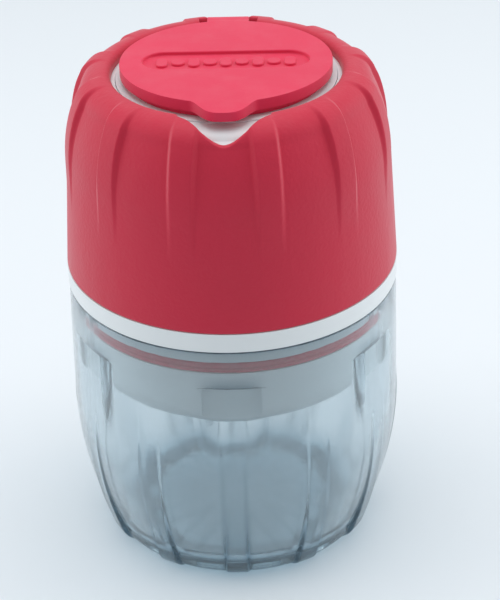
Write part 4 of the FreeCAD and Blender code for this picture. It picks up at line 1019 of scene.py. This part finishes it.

# %% [markdown]
# ## The strap
#
# The lid hangs on a strap of its own material, thinned where it bends. It leaves the back of the
# disc, dips over the hinge line and sinks into the grip between the two slots. It has to bend when
# the lid opens, and it is a piece of its own, which stays where it is drawn. A cube is stretched, cut
# across many times so that it can curve, and its upper and lower faces are drawn to the two lines
# that a strap like this has.

# %% Model the strap
STRAP_FRONT, STRAP_BACK = LID_R - 2.2, 25.6
STRAP_TOP = LID_TOP - lid_fall(LID_R) - 0.02
strap_upper = [(STRAP_FRONT, STRAP_TOP), (19.9, STRAP_TOP), (20.8, STRAP_TOP - 0.1),
               (HINGE.y, HINGE.z + 0.4), (23.6, HINGE.z + 0.1), (24.6, CROWN - 0.2),
               (STRAP_BACK, CROWN - 0.9)]
strap_lower = [(STRAP_FRONT, LID_UNDER + 0.4), (20.4, LID_UNDER + 0.2), (HINGE.y, HINGE.z - 0.7),
               (23.6, HINGE.z - 1.1), (STRAP_BACK, CROWN - 1.9)]
strap_shape = bmesh.new()
bmesh.ops.create_cube(strap_shape, size=1.0)
bmesh.ops.scale(strap_shape, vec=(STRAP_HALF * 2 - 0.1, STRAP_BACK - STRAP_FRONT, 1.0),
                verts=strap_shape.verts)
bmesh.ops.translate(strap_shape, verts=strap_shape.verts,
                    vec=(0, (STRAP_BACK + STRAP_FRONT) / 2, HINGE.z))
long_edges = [e for e in strap_shape.edges if abs(e.verts[0].co.y - e.verts[1].co.y) > 1]
round_off(strap_shape, long_edges, 0.12, 3)
cuts = 44
for k in range(1, cuts):
    cut_y = STRAP_FRONT + (STRAP_BACK - STRAP_FRONT) * k / cuts
    everything = strap_shape.verts[:] + strap_shape.edges[:] + strap_shape.faces[:]
    bmesh.ops.bisect_plane(strap_shape, geom=everything, dist=0.0001,
                           plane_co=(0, cut_y, 0), plane_no=(0, 1, 0))

for point in strap_shape.verts:
    upper, lower = smoothly(strap_upper, point.co.y), smoothly(strap_lower, point.co.y)
    share = point.co.z - HINGE.z + 0.5
    point.co.z = lower + (upper - lower) * share
bmesh.ops.recalc_face_normals(strap_shape, faces=strap_shape.faces)
lid_strap = finished(strap_shape, "lid_strap", lid_red_painted_light)
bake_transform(lid_strap)

# %% [markdown]
# ## The gasket
#
# The red ring round the plug presses against the jar's mouth and shows through the clear wall. It
# has two round lips with a valley between them. In the CAD part they are sharp; here the section
# is drawn with arcs, because a soft gasket never has a knife edge.

# %% Turn the gasket
GASKET_LOW, GASKET_HIGH = (corner.z for corner in box_mm("jar_gasket"))
GASKET_IN, GASKET_OUT = 28.95, box_mm("jar_gasket")[1].x
gasket_height = GASKET_HIGH - GASKET_LOW
gasket_section = [(GASKET_IN, GASKET_LOW + 0.05), (GASKET_IN, GASKET_HIGH - 0.05)]
for middle in (0.77, 0.23):
    centre = GASKET_LOW + gasket_height * middle
    for k in range(9):
        a = math.radians(80 - 20 * k)
        gasket_section.append((GASKET_OUT - 0.45 + 0.45 * math.cos(a), centre + 0.5 * math.sin(a)))
finished(turned(gasket_section, evenly(192)), "gasket_ring", soft_red_grip, "mill",
         ["jar_gasket"])

# %% [markdown]
# ## The parts that keep their CAD shape
#
# The white parts, the burrs and the fasteners are already the right shape, so they keep it and get
# a finish each. Every one of them has a node material of its own kind: satin white, ceramic, waxy
# bearing plastic, steel or brass.

# %% Give the CAD parts their finishes
FINISHES = {
    "white_plastic": satin_white, "burr_ceramic": fired_ceramic, "washer_plastic": waxy_washer,
    "steel": bright_steel, "brass": bright_brass, "soft_red": soft_red_grip,
    "clear_jar": clear_jar_plastic,
}
slot_of = {part["node"]: part["material_slot"] for part in frame["record"]["subparts"]}
for node, part in frame["nodes"].items():
    part.data.materials.clear()
    part.data.materials.append(FINISHES[slot_of[node]])
print("finished CAD parts:", len(frame["nodes"]))
